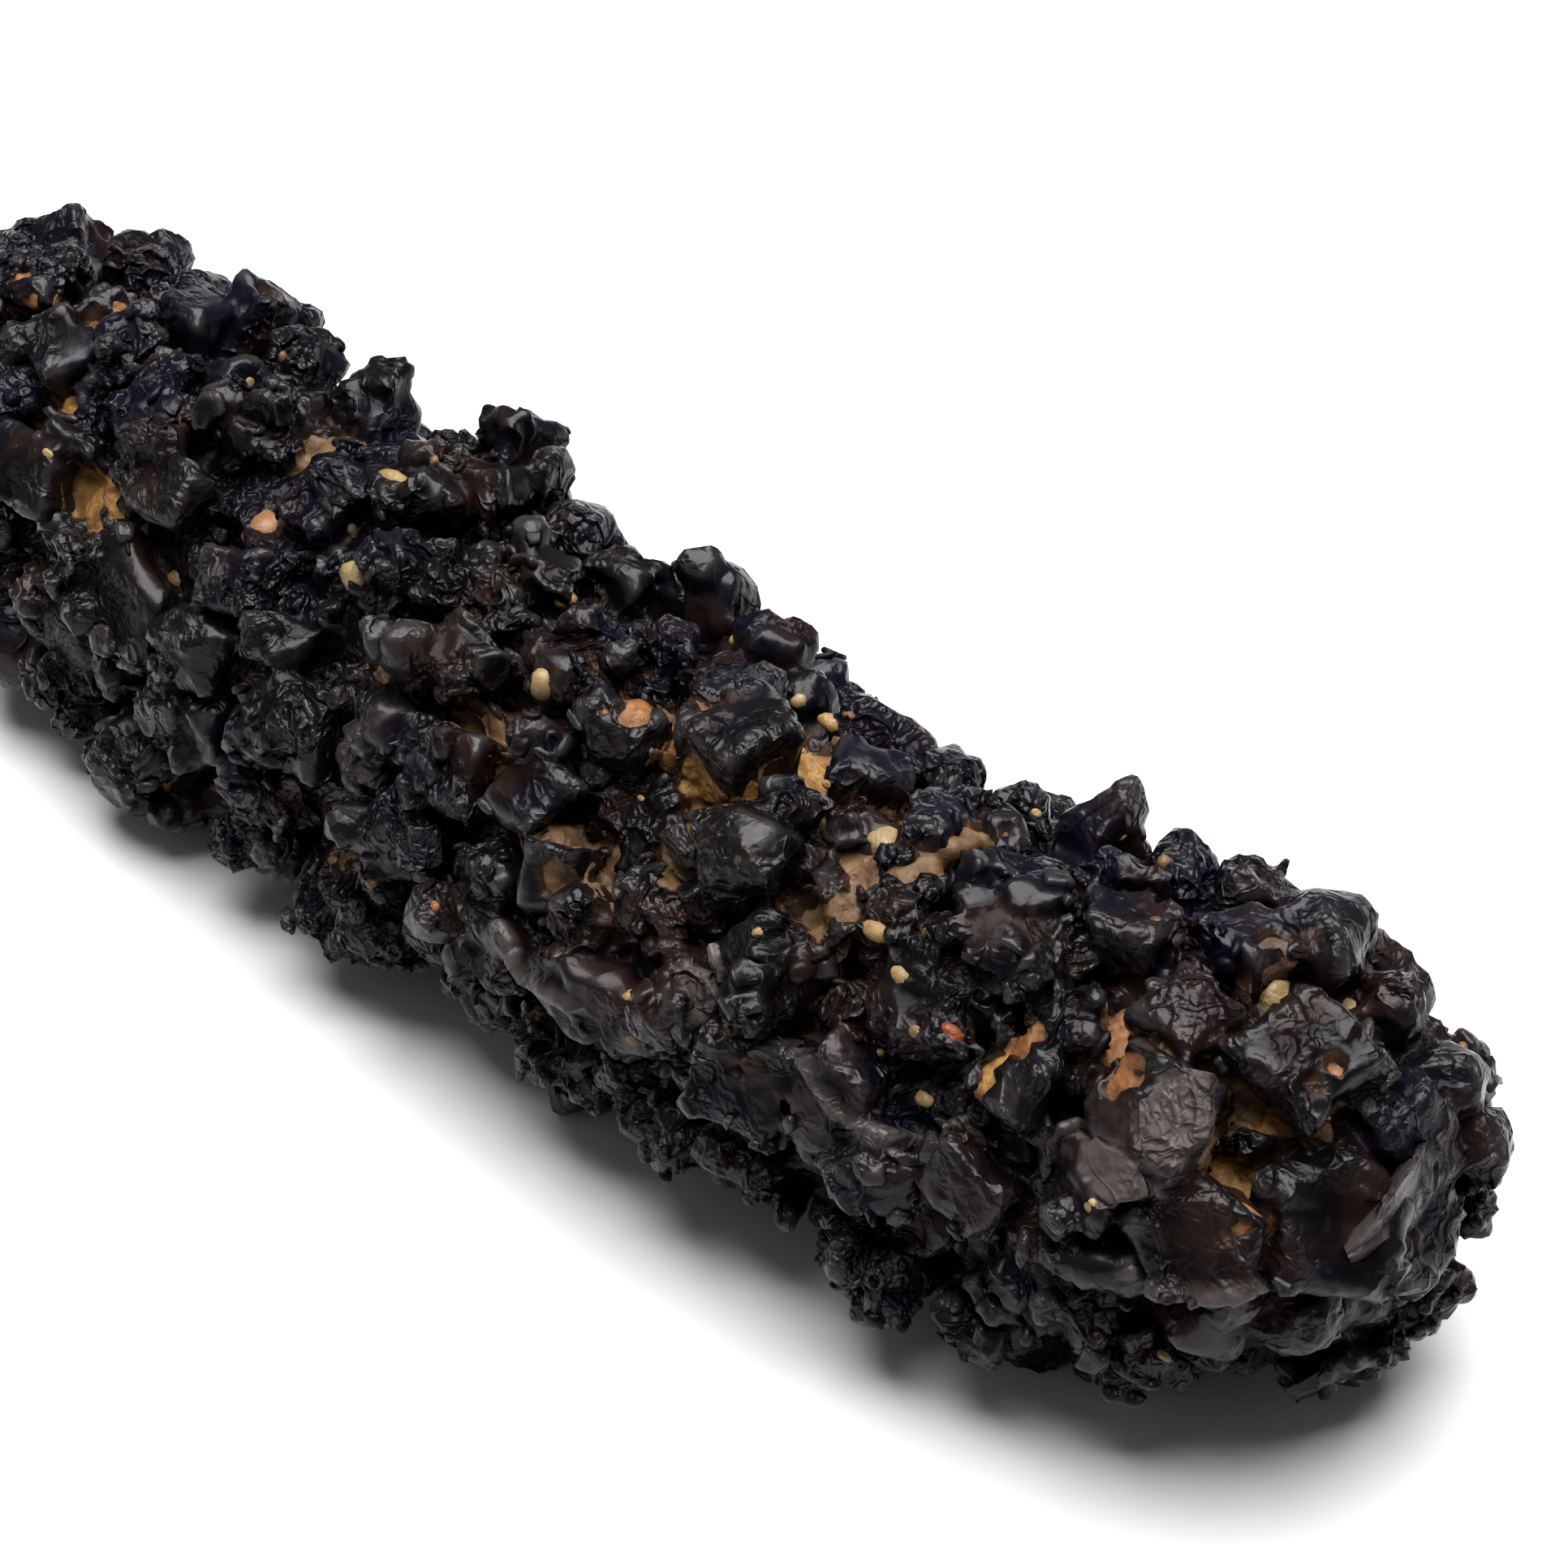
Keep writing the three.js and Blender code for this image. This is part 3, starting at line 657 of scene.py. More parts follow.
def fine_grain_group():
    """The finest relief of the stone's skin, as a height in mm: folds, facets, pits and grit"""
    w, entry, leave = group_tree("Fine Grain", "ShaderNodeTree", {
        "Place": "Vector", "Fold": 0.06, "Facet": 0.05, "Pit": 0.03, "Grit": 0.006, "Liveliness": 1.0,
    }, {"Height": "Float", "Crest": "Float"})

    def crest_lines(scale, sharpness, shift):
        """Winding crests where noise passes its middle: 1 on the line, falling to 0 on both sides"""
        field = w.noise(w.vector("ADD", entry["Place"], shift), scale, 1.0, 0.4, 0.8)
        off_crest = w.math("ABSOLUTE", w.minus(field, 0.5))
        crest = w.minus(1.0, w.times(off_crest, sharpness, clamp=True))
        return w.math("POWER", crest, 1.3)

    long_crest = crest_lines(1 / FOLD_SIZE, 8.5, (0.0, 0.0, 0.0))
    short_crest = crest_lines(2 / FOLD_SIZE, 7.0, (6.0, 1.0, 3.0))
    crest = w.plus(long_crest, w.times(short_crest, 0.42))
    broad = w.facets(entry["Place"], 0.9)
    close = w.facets(w.vector("ADD", entry["Place"], (4.0, 1.0, 9.0)), 0.42)
    holes = w.cells(entry["Place"], 1.25, smoothness=0.1)
    hole = w.range(holes.outputs["Distance"], 0.10, 0.24, -1.0, 0.0, smooth=True)
    grit = w.noise(entry["Place"], 9.0, 2.0, 0.6)
    calmness = w.noise(w.vector("ADD", entry["Place"], (3.0, 14.0, 8.0)), 0.33, 1.0)
    lively = w.times(entry["Liveliness"], w.range(calmness, 0.40, 0.56, 0.12, 1.0, smooth=True))
    height = w.times(crest, entry["Fold"])
    facets = w.plus(broad, w.times(close, 0.4))
    height = w.plus(height, w.times(facets, entry["Facet"]))
    height = w.plus(height, w.times(hole, entry["Pit"]))
    height = w.times(height, lively)
    height = w.plus(height, w.times(grit, entry["Grit"]))
    w.feed(leave[0], height)
    # The crest mask, which paints crests paler: partly rubbed, partly a painted highlight
    w.feed(leave[1], w.times(w.range(crest, 0.78, 1.16, smooth=True), lively))
    return w.tree


def oxide_tint_group():
    """The stone's own near-black, brown where rusted, bluish towards the far +Y side: partly own tone, partly
    painted sheen
    """
    w, entry, leave = group_tree("Oxide Tint", "ShaderNodeTree", {"Place": "Vector", "Rust": 0.5},
                                 {"Colour": "Color"})
    along = w.add("ShaderNodeSeparateXYZ", {0: entry["Place"]})
    # Painted bluish sheen: the blue grows towards the far +Y side
    side = w.range(along.outputs[1], -2.0, 7.0, -0.04, 0.12)
    blue_sheen = w.range(w.plus(w.noise(entry["Place"], 0.16, 2.0), side), 0.44, 0.62, smooth=True)
    tone_and_sheen = w.mixed(blue_sheen, DENSE, BLUISH_SHEEN)
    drift = w.plus(w.noise(w.vector("ADD", entry["Place"], (17.0, 3.0, 5.0)), 0.28, 3.0),
                   w.range(along.outputs[0], -20.0, 38.0, -0.02, 0.06))
    rust = w.times(w.range(drift, 0.50, 0.68, smooth=True), entry["Rust"])
    w.feed(leave[0], w.mixed(rust, tone_and_sheen, RUSTED))
    return w.tree


def new_material(name):
    """An empty material, its wiring, its Principled shader and Object coordinates in mm"""
    material = bpy.data.materials.new(name)
    material.use_nodes = True
    material.node_tree.nodes.clear()
    w = Wiring(material.node_tree)
    shader = w.add("ShaderNodeBsdfPrincipled")
    output = w.add("ShaderNodeOutputMaterial")
    w.feed(output.inputs["Surface"], shader.outputs["BSDF"])
    place = w.vector("SCALE", w.add("ShaderNodeTexCoord").outputs["Object"], scale=1 / MM)
    return material, w, shader, place


def bumped(w, shader, height):
    """Feeds a height in mm to a shader's normal"""
    bump = w.add("ShaderNodeBump", {"Height": height, "Strength": 1.0, "Distance": MM})
    w.feed(shader.inputs["Normal"], bump)
    return bump


def oxide_material(name, fold, facet, pit, rubbed_and_highlight_colour):
    """Satin black iron oxide with paler corners and crests, partly rubbed and partly painted highlights,
    stained brown near the ochre
    """
    material, w, shader, place = new_material(name)
    proud = w.stored("proud")
    wear_and_highlight = w.effect("Edge Wear", edge_wear_and_highlight_group, {"Place": place, "Proudness": proud})
    tint = w.effect("Oxide Tint", oxide_tint_group, {"Place": place, "Rust": 0.8})
    grain = w.effect("Fine Grain", fine_grain_group, {
        "Place": place, "Fold": fold, "Facet": facet, "Pit": pit,
        "Liveliness": w.range(w.stored("room"), 0.0, 1.0, 0.35, 1.0)})
    breaks = w.noise(w.vector("ADD", place, (2.0, 8.0, 4.0)), 1.5, 3.0)
    seep = w.plus(w.stored("stain"), w.minus(breaks, 0.5))
    stain = w.times(w.range(seep, 0.35, 0.75, smooth=True), w.range(proud, 0.45, 0.75, 1.0, 0.0))
    sooty = w.mixed(stain, tint, STAINED)
    # Crests and proud corners are painted paler: partly rubbed, partly a painted highlight
    crest_wear_and_highlight = w.times(grain.outputs["Crest"], w.range(breaks, 0.35, 0.65, 0.3, 1.0))
    rubbed_and_highlit = w.mixed(w.math("MAXIMUM", wear_and_highlight, crest_wear_and_highlight), sooty, rubbed_and_highlight_colour)
    # The plates' paler colour, which also paints the fold and lip crests: there partly a painted highlight
    flake = w.times(w.stored("flake"), w.range(breaks, 0.30, 0.55, 0.6, 1.0))
    w.feed(shader.inputs["Base Color"], w.mixed(flake, rubbed_and_highlit, PLATE))
    patches = w.noise(place, 0.7, 3.0)
    rough = w.minus(w.range(patches, 0.35, 0.65, OXIDE_ROUGHNESS - 0.06, OXIDE_ROUGHNESS + 0.10),
                    w.times(wear_and_highlight, 0.04))
    w.feed(shader.inputs["Roughness"], w.plus(rough, w.times(flake, 0.15)))
    # Coat weight: gloss on proud corners and crests, partly polish, and taken out of hollows as painted shade
    polish_and_shade = w.plus(proud, w.times(w.minus(patches, 0.5), 0.4))
    polish_and_shade_weight = w.range(polish_and_shade, 0.40, 0.80, 0.12, 1.0, smooth=True)
    w.feed(shader.inputs["Coat Weight"], w.math("MAXIMUM", polish_and_shade_weight, crest_wear_and_highlight))
    shader.inputs["Coat Roughness"].default_value = OXIDE_ROUGHNESS - 0.04
    shader.inputs["Coat IOR"].default_value = COAT_IOR
    shader.inputs["Specular Tint"].default_value = (1.0, 0.88, 0.95, 1)
    shader.inputs["IOR"].default_value = OXIDE_IOR
    w.feed(shader.inputs["Coat Normal"], bumped(w, shader, grain))
    return material


def sandy_material(name, roughness, mottling):
    """Ochre cement or a grain of quartz: each patch has its own tone, mottled and greasy"""
    material, w, shader, place = new_material(name)
    tone = w.stored("tone", "Color")
    mottle = w.range(w.noise(place, 1.1, 3.0), 0.35, 0.7, smooth=True)
    darker = w.mixed(1.0, tone, MOTTLE, blend="MULTIPLY")
    stained = w.mixed(w.times(mottle, mottling), tone, darker)
    depth = w.stored("ochre")
    thin = w.times(w.range(depth, 0.25, 0.95, 1.0, 0.0, smooth=True), mottling)
    stained = w.mixed(thin, stained, THIN_OCHRE)
    specks = w.range(w.noise(w.vector("ADD", place, (5.0, 9.0, 1.0)), 3.4, 2.0), 0.60, 0.70, smooth=True)
    specked = w.mixed(w.times(specks, 0.5 * mottling), stained, SPECK)
    w.feed(shader.inputs["Base Color"], specked)
    w.feed(shader.inputs["Roughness"], w.range(mottle, 0.0, 1.0, roughness, roughness + 0.2))
    shader.inputs["IOR"].default_value = SAND_IOR
    grain = w.effect("Fine Grain", fine_grain_group,
                     {"Place": place, "Fold": 0.02, "Facet": 0.10, "Pit": 0.06, "Grit": 0.03})
    bumped(w, shader, grain)
    return material


def floor_material():
    """Plain pale floor"""
    material, w, shader, place = new_material("pale_floor")
    stage = bpy.context.scene.stone_stage
    cast = w.range(w.noise(place, 0.004, 2.0), 0.3, 0.7, 0.98, 1.0)
    w.feed(shader.inputs["Base Color"], w.mixed(1.0, (*stage.floor_colour, 1), cast, blend="MULTIPLY"))
    shader.inputs["Roughness"].default_value = 0.75
    return material


# ---- Crystal habits ------------------------------------------------------------------------------

def lofted(name, rings):
    """A closed mesh through rings of corners, each ring as long as the next, capped at both ends"""
    bm = bmesh.new()
    loops = [[bm.verts.new(corner) for corner in ring] for ring in rings]
    for lower, upper in zip(loops, loops[1:]):
        for k, corner in enumerate(lower):
            following = (k + 1) % len(lower)
            bm.faces.new((corner, lower[following], upper[following], upper[k]))
    bm.faces.new(loops[0][::-1])
    bm.faces.new(loops[-1])
    bmesh.ops.recalc_face_normals(bm, faces=bm.faces)
    mesh = mesh_from(bm, name)
    heights = corners(mesh)[:, 2]
    # Proud rises with height, so tops take the paler colour and more gloss: partly a painted highlight
    paint(mesh, "proud", np.interp(heights, (-0.1, 0.5), (0.3, 0.8)))
    return bpy.data.objects.new(name, mesh)


def upright(name, sides, levels, squareness=2.0, seed=1):
    """A crystal one unit across: rings of corners at levels [height, reach], rounder or squarer in plan"""
    chance = random.Random(seed)
    strays = [(chance.uniform(0.76, 1.16), chance.uniform(-0.2, 0.2)) for _ in range(sides)]
    rings = []
    for height, reach in levels:
        ring = []
        for k, (stretch, sway) in enumerate(strays):
            angle = 2 * math.pi * (k + 0.5) / sides + sway
            square = abs(math.cos(angle)) ** squareness + abs(math.sin(angle)) ** squareness
            radius = 0.5 * reach * square ** (-1 / squareness) * stretch
            lift = height + 0.08 * chance.uniform(-1, 1)
            ring.append((radius * math.cos(angle), radius * math.sin(angle), lift))
        rings.append(ring)
    return lofted(name, rings)


def worm(name, curl, sides=6, stations=6, girth=0.17):
    """A short bent ridge one unit long, lying on the surface"""
    rings = []
    for station in range(stations):
        run = 0.5 - 0.5 * math.cos(math.pi * (station + 0.35) / (stations - 0.3))
        swell = girth * math.sqrt(max(1 - (2 * run - 1) ** 2, 0.08))
        heading = curl * (run - 0.5)
        centre = (run - 0.5, 0.0)
        if abs(curl) > 0.01:
            centre = (math.sin(heading) / curl, (1 - math.cos(heading)) / curl)
        ring = []
        for k in range(sides):
            angle = 2 * math.pi * k / sides
            across = swell * math.cos(angle)
            ring.append((centre[0] - across * math.sin(heading), centre[1] + across * math.cos(heading),
                         swell * 1.3 * math.sin(angle) + 0.04 * math.sin(9 * run)))
        rings.append(ring)
    return lofted(name, rings)


def rim(name, sides=10, girth=0.13):
    """A small crater's rim, one unit across and square in section"""
    bm = bmesh.new()
    loops = []
    for k in range(sides):
        angle = 2 * math.pi * k / sides
        bulge = 1 + 0.18 * math.sin(2 * angle + 0.6)
        loop = []
        for j in range(4):
            turn = 2 * math.pi * j / 4
            reach = 0.36 * bulge + girth * math.cos(turn)
            lift = girth * 1.3 * math.sin(turn) + 0.03 * math.sin(3 * angle)
            loop.append(bm.verts.new((reach * math.cos(angle), reach * math.sin(angle), lift)))
        loops.append(loop)
    for k, loop in enumerate(loops):
        onward = loops[(k + 1) % sides]
        for j in range(4):
            bm.faces.new((loop[j], onward[j], onward[(j + 1) % 4], loop[(j + 1) % 4]))
    bmesh.ops.recalc_face_normals(bm, faces=bm.faces)
    mesh = mesh_from(bm, name)
    # Proud rises with height, so the rim's top takes the paler colour and more gloss: partly a painted
    # highlight
    paint(mesh, "proud", np.interp(corners(mesh)[:, 2], (-0.05, 0.12), (0.35, 0.8)))
    return bpy.data.objects.new(name, mesh)


def shelf(name, bodies):
    """A collection of bodies to strew, kept out of the scene"""
    collection = bpy.data.collections.new(name)
    for body in bodies:
        collection.objects.link(body)
    return collection


def clear_shelf(collection):
    """Takes a shelf and what is on it out of the file"""
    for body in list(collection.objects):
        discard(body)
    bpy.data.collections.remove(collection)


def block_habits():
    """Lesser crystals of the crust: blocks, tablets, knobs and wedges"""
    return [
        upright("block", 8, ((-0.6, 0.8), (0.14, 1.0), (0.38, 0.9), (0.48, 0.66)), 5.0, 1),
        upright("tablet", 8, ((-0.5, 0.9), (0.08, 1.1), (0.26, 1.0), (0.31, 0.8)), 4.0, 2),
        upright("knob", 8, ((-0.6, 0.7), (-0.1, 1.0), (0.2, 0.92), (0.4, 0.6), (0.47, 0.3)), 2.2, 3),
        upright("wedge", 6, ((-0.6, 0.9), (0.1, 1.0), (0.36, 0.62), (0.55, 0.2)), 3.0, 4),
        upright("lump", 7, ((-0.6, 0.9), (0.0, 1.1), (0.25, 0.95), (0.42, 0.5)), 2.0, 5),
        upright("twin", 8, ((-0.6, 0.8), (0.15, 1.05), (0.38, 0.74), (0.46, 0.5)), 1.5, 6),
    ]


def small_habits():
    """Small crystals and stout bent ridges of the coarse druse, with a few dozen faces at most"""
    return [
        upright("slab", 6, ((-0.4, 1.0), (0.1, 1.25), (0.22, 1.05)), 4.0, 11),
        upright("small_cube", 4, ((-0.4, 1.05), (0.24, 1.25), (0.38, 1.05)), 2.0, 13),
        upright("small_wedge", 5, ((-0.4, 1.0), (0.12, 1.1), (0.36, 0.5)), 2.5, 16),
        worm("stout_ridge", 0.9, 6, 6, 0.24), worm("stout_hook", 2.4, 6, 7, 0.20),
        worm("stout_bend", -1.6, 6, 7, 0.21), worm("long_bend", 1.4, 6, 7, 0.16),
        worm("long_ridge", -0.5, 6, 6, 0.17),
    ]


def fine_habits():
    """The finest growths: bent ridges, rims and lumps"""
    return [
        worm("ridge_straight", 0.0), worm("ridge_bent", 1.5), worm("ridge_hooked", 2.9),
        worm("ridge_back", -1.3), worm("ridge_stout", 0.6, 6, 5, 0.25), rim("rim", 9, 0.17),
        upright("lump", 6, ((-0.3, 0.8), (0.08, 1.0), (0.26, 0.75), (0.34, 0.4)), 2.0, 21),
        upright("chip", 5, ((-0.3, 0.9), (0.12, 1.0), (0.26, 0.75)), 3.0, 22),
    ]


# ---- Fields over the crust -----------------------------------------------------------------------

# How far round each place stays bare: in shares of an ochre patch's diagonal and a grain's length, and in mm
OCHRE_CLEARING = 0.375
GRAIN_CLEARING = 0.55
FOLD_CLEARING = 0.9


def bareness(points, tree):
    """How far inside a bare crystal or an ochre hollow each point lies: 0 outside, 1 well inside"""
    inside = np.zeros(len(points))
    sites = list(BARE_CRYSTALS)
    sites += [(along, around, OCHRE_CLEARING * math.hypot(length, width))
              for along, around, length, width, _ in OCHRE]
    sites += [(along, around, GRAIN_CLEARING * max(length, width))
              for along, around, length, width, _ in GRAINS]
    sites += [(along, around, FOLD_CLEARING) for path in FOLDS + LIP for along, around in path]
    for along, around, reach in sites:
        centre, _ = landing(tree, along, around)
        distance = np.linalg.norm(points - np.array(centre), axis=1) / MM
        inside = np.maximum(inside, np.clip((reach - distance) / 0.5 + 0.5, 0, 1))
    return inside


def neighbour_mean(mesh):
    """A function that averages numbers or points over each vertex's neighbours"""
    ends = gathered(mesh.edges, "vertices", 2, np.int32)
    count = len(mesh.vertices)
    valence = np.maximum(np.bincount(ends.ravel(), minlength=count), 1)

    def mean(values):
        if values.ndim == 2:
            return np.stack([mean(column) for column in values.T], 1)
        total = np.bincount(ends[:, 0], values[ends[:, 1]], count)
        return (total + np.bincount(ends[:, 1], values[ends[:, 0]], count)) / valence

    return mean


def standing(mesh, rounds):
    """How far each vertex stands out of the surface around it, in metres, and the surface's way out there"""
    points = corners(mesh)
    mean = neighbour_mean(mesh)
    soft = points
    for _ in range(rounds):
        soft = mean(soft)
    normals = gathered(mesh.vertices, "normal", 3).astype(float)
    return ((points - soft) * normals).sum(1), normals, mean


def proudness(mesh, rounds=3):
    """How far each vertex stands out of its neighbourhood, about 0 in a crease and 1 on a corner"""
    stand, _, mean = standing(mesh, rounds)
    stand = mean(stand)
    return np.clip(0.5 + 0.22 * stand / max(stand.std(), 1e-12), 0, 1)


def deepened(piece, gain, rounds=45):
    """Deepens the gaps between crystals and draws their corners out a little"""
    stand, normals, mean = standing(piece.data, rounds)
    normals = mean(mean(normals))
    push = np.where(stand < 0, stand * gain, stand * 0.25 * gain)
    reshape(piece.data, corners(piece.data) + normals * push[:, None])
    return piece


def near_patch(points, tree, along, around, length, width):
    """How deep in an oval patch each point lies: below 0 outside, 1 in its middle"""
    centre, normal = landing(tree, along, around)
    across = sideways(normal)
    offset = (points - np.array(centre)) / MM
    run = offset[:, 0] / (0.5 * length)
    rise = offset @ np.array(across) / (0.5 * width)
    depth = offset @ np.array(normal) / 1.6
    return 1 - np.sqrt(run * run + rise * rise + depth ** 4)


def ragged(points, near, size=0.8, depth=0.9):
    """Breaks up a field's edge with arms and bays"""
    torn = np.full(len(points), -1.0)
    for k in np.flatnonzero(near > -1.2):
        torn[k] = near[k] + depth * noise.noise(Vector(points[k] / (size * MM)))
    return torn


def ochre_field(points, tree, patches, stand):
    """Where ochre lies, from 0 to 1, how far it stains round about, and which patch is nearest at each
    point. It keeps to hollows: stand is how far, in mm, each point stands out of the surface around it."""
    field = np.full(len(points), -9.0)
    nearest = np.zeros(len(points), int)
    for number, (along, around, length, width, _) in enumerate(patches):
        here = near_patch(points, tree, along, around, length * 1.15, width * 1.15)
        nearest[here > field] = number
        field = np.maximum(field, here)
    torn = ragged(points, field - np.clip(stand, -0.3, 0.8) * 1.8, 0.7, 0.9)
    return np.clip(torn / 0.35 + 0.1, 0, 1), np.clip(torn / 1.2 + 0.65, 0, 1), nearest


def hidden_patches(count, seed):
    """Ochre patches for the sides away from the listed ones"""
    chance = random.Random(seed)
    tones = ("honey", "orange", "tan", "tan", "brown")
    return [(chance.uniform(-36, 36), chance.uniform(95, 335), chance.uniform(1.2, 3.6),
             chance.uniform(0.9, 2.2), chance.choice(tones)) for _ in range(count)]


def inside_box(mesh, proud=0.0001):
    """Holds a mesh's vertices inside the solid's box, and on the floor"""
    points = corners(mesh)
    low = np.array(CAD_BOX[0]) - proud
    high = np.array(CAD_BOX[1]) + proud
    low[2] = CAD_BOX[0][2]
    reshape(mesh, np.clip(points, low, high))


def far_shoulder(points):
    """1 on the rod's far upper side, where crystals stand nearly bare, and 0 elsewhere"""
    around = bearings(points)
    return np.clip((-4 - around) / 14, 0, 1) * np.clip((around + 64) / 14, 0, 1)


def box_room(points, reach=0.9):
    """0 at the faces of the solid's box, rising to 1 at reach mm inside them"""
    low = (points - np.array(CAD_BOX[0])) / MM
    high = (np.array(CAD_BOX[1]) - points) / MM
    return np.clip(np.minimum(low, high).min(1) / reach, 0, 1)


def raise_folds(mesh, tree, height=0.6, reach=0.55, step=0.2):
    """Draws the surface out along each long fold, to a sharp crest height mm high and reach mm to each side,
    and marks the crest in the mask of plates, whose paler colour it shares: partly a painted highlight on the
    crest"""
    points = corners(mesh)
    nearest = np.full(len(points), 9.0)
    for path in FOLDS:
        for first, second in zip(path, path[1:]):
            span = math.hypot(second[0] - first[0], math.radians(second[1] - first[1]) * ROD_RADIUS[-1])
            for share in np.linspace(0, 1, max(int(span / step), 2)):
                along, around = (a + (b - a) * share for a, b in zip(first, second))
                crest, _ = landing(tree, along, around)
                nearest = np.minimum(nearest, np.linalg.norm(points - np.array(crest), axis=1) / MM)
    lift = height * MM * np.clip(1 - nearest / reach, 0, 1) ** 1.2
    _, normals, mean = standing(mesh, 0)
    normals = mean(mean(normals))
    reshape(mesh, points + normals * lift[:, None])
    # Paints the crest pale with the plates' colour: partly a painted highlight
    paint(mesh, "flake", np.maximum(painted(mesh, "flake"), np.clip(1.1 - nearest / 0.32, 0, 1)))


def lay_flakes(mesh, tree):
    """Flattens the crust into each thin plate and stores a mask, 1 on the plates, with broken edges"""
    points = corners(mesh)
    flake = np.zeros(len(points))
    for along, around, length, width in FLAKES:
        centre, _ = landing(tree, along, around)
        out = np.array(outward(around))
        torn = ragged(points, near_patch(points, tree, along, around, length, width), 0.9, 0.45)
        mask = np.clip(torn / 0.10 + 0.5, 0, 1)
        height = (points - np.array(centre)) @ out
        level = height[mask > 0.5].mean() + 0.15 * MM if (mask > 0.5).any() else 0.0
        points += out * (mask * 0.85 * (level - height))[:, None]
        flake = np.maximum(flake, mask)
    reshape(mesh, points)
    paint(mesh, "flake", flake)


def crest_line(tree, path, stations):
    """Points evenly along a crest, at a depth that changes smoothly, and the lines of sight to them"""
    eye = eye_point()
    shares = np.linspace(0, len(path) - 1, stations)
    alongs, arounds = (np.interp(shares, range(len(path)), column) for column in zip(*path))
    sights, depths = [], []
    for along, around in zip(alongs, arounds):
        sight = landing(tree, along, around)[0] - eye
        sights.append(sight.normalized())
        depths.append(sight.length)
    smooth = np.polynomial.Polynomial.fit(shares, depths, 2)(shares)
    return [eye + sight * depth for sight, depth in zip(sights, smooth)], sights


def lip(tree, stations=22, inner_rise=1.0, outer_rise=0.75, hollowness=0.22, root=1.6):
    """The lip: a bent strip, hollow between two sharp crests of these heights in mm, its back in the crust"""
    inner_crest, sights = crest_line(tree, LIP[0], stations)
    outer_crest, _ = crest_line(tree, LIP[1], stations)
    rings = []
    for k, (inner, outer, sight) in enumerate(zip(inner_crest, outer_crest, sights)):
        swell = math.sin(math.pi * (k + 0.5) / stations) ** 0.6
        rise = swell * MM
        outer = inner.lerp(outer, swell)
        side = (outer - inner).normalized()
        inner = inner - sight * inner_rise * rise
        outer = outer - sight * outer_rise * rise
        hollow = (inner + outer) / 2 + sight * hollowness * rise
        back = sight * root * MM
        rings.append((inner, hollow, outer, outer + back + side * 0.5 * MM, inner + back - side * 0.8 * MM))
    strip = lofted("lip", rings)
    # Crests marked proud and pale, so they take a paler colour and more gloss: partly a painted highlight
    paint(strip.data, "proud", np.tile((1.0, 0.5, 1.0, 0.4, 0.4), stations))
    paint(strip.data, "flake", np.tile((0.55, 0.30, 0.45, 0.15, 0.15), stations))
    return strip


PLATE_LEVELS = ((-0.5, 0.92), (0.04, 1.0), (0.15, 0.97), (0.18, 0.88))  # [height in mm, reach] of its rings
PLATE_CORNERS = 13


def flake_plates(tree):
    """Thin plates with broken outlines, one on each place that was flattened for it"""
    chance = random.Random(9)
    plates = []
    for along, around, length, width in FLAKES:
        out = outward(around)
        centre, _ = landing(tree, along, around)
        hit, _, _, _ = tree.ray_cast(centre + out * 3 * MM, -out)
        strays = [(chance.uniform(0.80, 1.15), chance.uniform(-0.15, 0.15)) for _ in range(PLATE_CORNERS)]
        rings = []
        for height, reach in PLATE_LEVELS:
            ring = []
            for k, (stretch, sway) in enumerate(strays):
                angle = 2 * math.pi * k / PLATE_CORNERS + sway
                lift = height + 0.05 * math.sin(2 * angle + along)
                ring.append((0.5 * length * reach * stretch * math.cos(angle),
                             0.5 * width * reach * stretch * math.sin(angle), lift))
            rings.append(ring)
        plate = lofted("plate", rings)
        place = Matrix.Translation(hit or centre) @ turned_to(out)
        plate.data.transform(place @ Matrix.Diagonal((MM, MM, MM, 1)))
        paint(plate.data, "proud", 0.5)
        paint(plate.data, "flake", 1)
        plates.append(plate)
    return joined("thin_flakes", plates + [lip(tree)])


# ---- Pieces --------------------------------------------------------------------------------------

def frame_solid(name):
    """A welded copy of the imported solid"""
    bm = bmesh.new()
    bm.from_mesh(frame["nodes"][STONE].data)
    bmesh.ops.remove_doubles(bm, verts=bm.verts, dist=WELD)
    return linked(name, mesh_from(bm, name))


def strewn(name, base, bodies, finish, **values):
    """A mesh of small bodies strewn over a base"""
    piece = linked(name, base.data.copy())
    stock = shelf(name + "_stock", bodies)
    apply_nodes(piece, tree_named("Strewn Crystals", scatter_tree), bodies=stock, finish=finish, **values)
    clear_shelf(stock)
    return piece


def etched(piece, finish, **values):
    """Weathers a piece's surface"""
    return apply_nodes(piece, tree_named("Weathered Relief", relief_tree), finish=finish, **values)


def all_patches():
    """Every ochre patch: the listed ones and those of the hidden sides"""
    return list(OCHRE) + hidden_patches(count=26, seed=7)


def sink(mesh, depths):
    """Moves each vertex towards the rod's axis by its own depth"""
    points = corners(mesh)
    along = points[:, 0] / MM - ROD_SHIFT[0]
    out = points.copy()
    out[:, 0] = 0
    out[:, 1] -= (np.interp(along, AXIS_ALONG, AXIS_SIDE) + ROD_SHIFT[1]) * MM
    out[:, 2] -= np.interp(along, AXIS_ALONG, AXIS_UP) * MM
    out /= np.linalg.norm(out, axis=1)[:, None]
    reshape(mesh, points - out * depths[:, None])


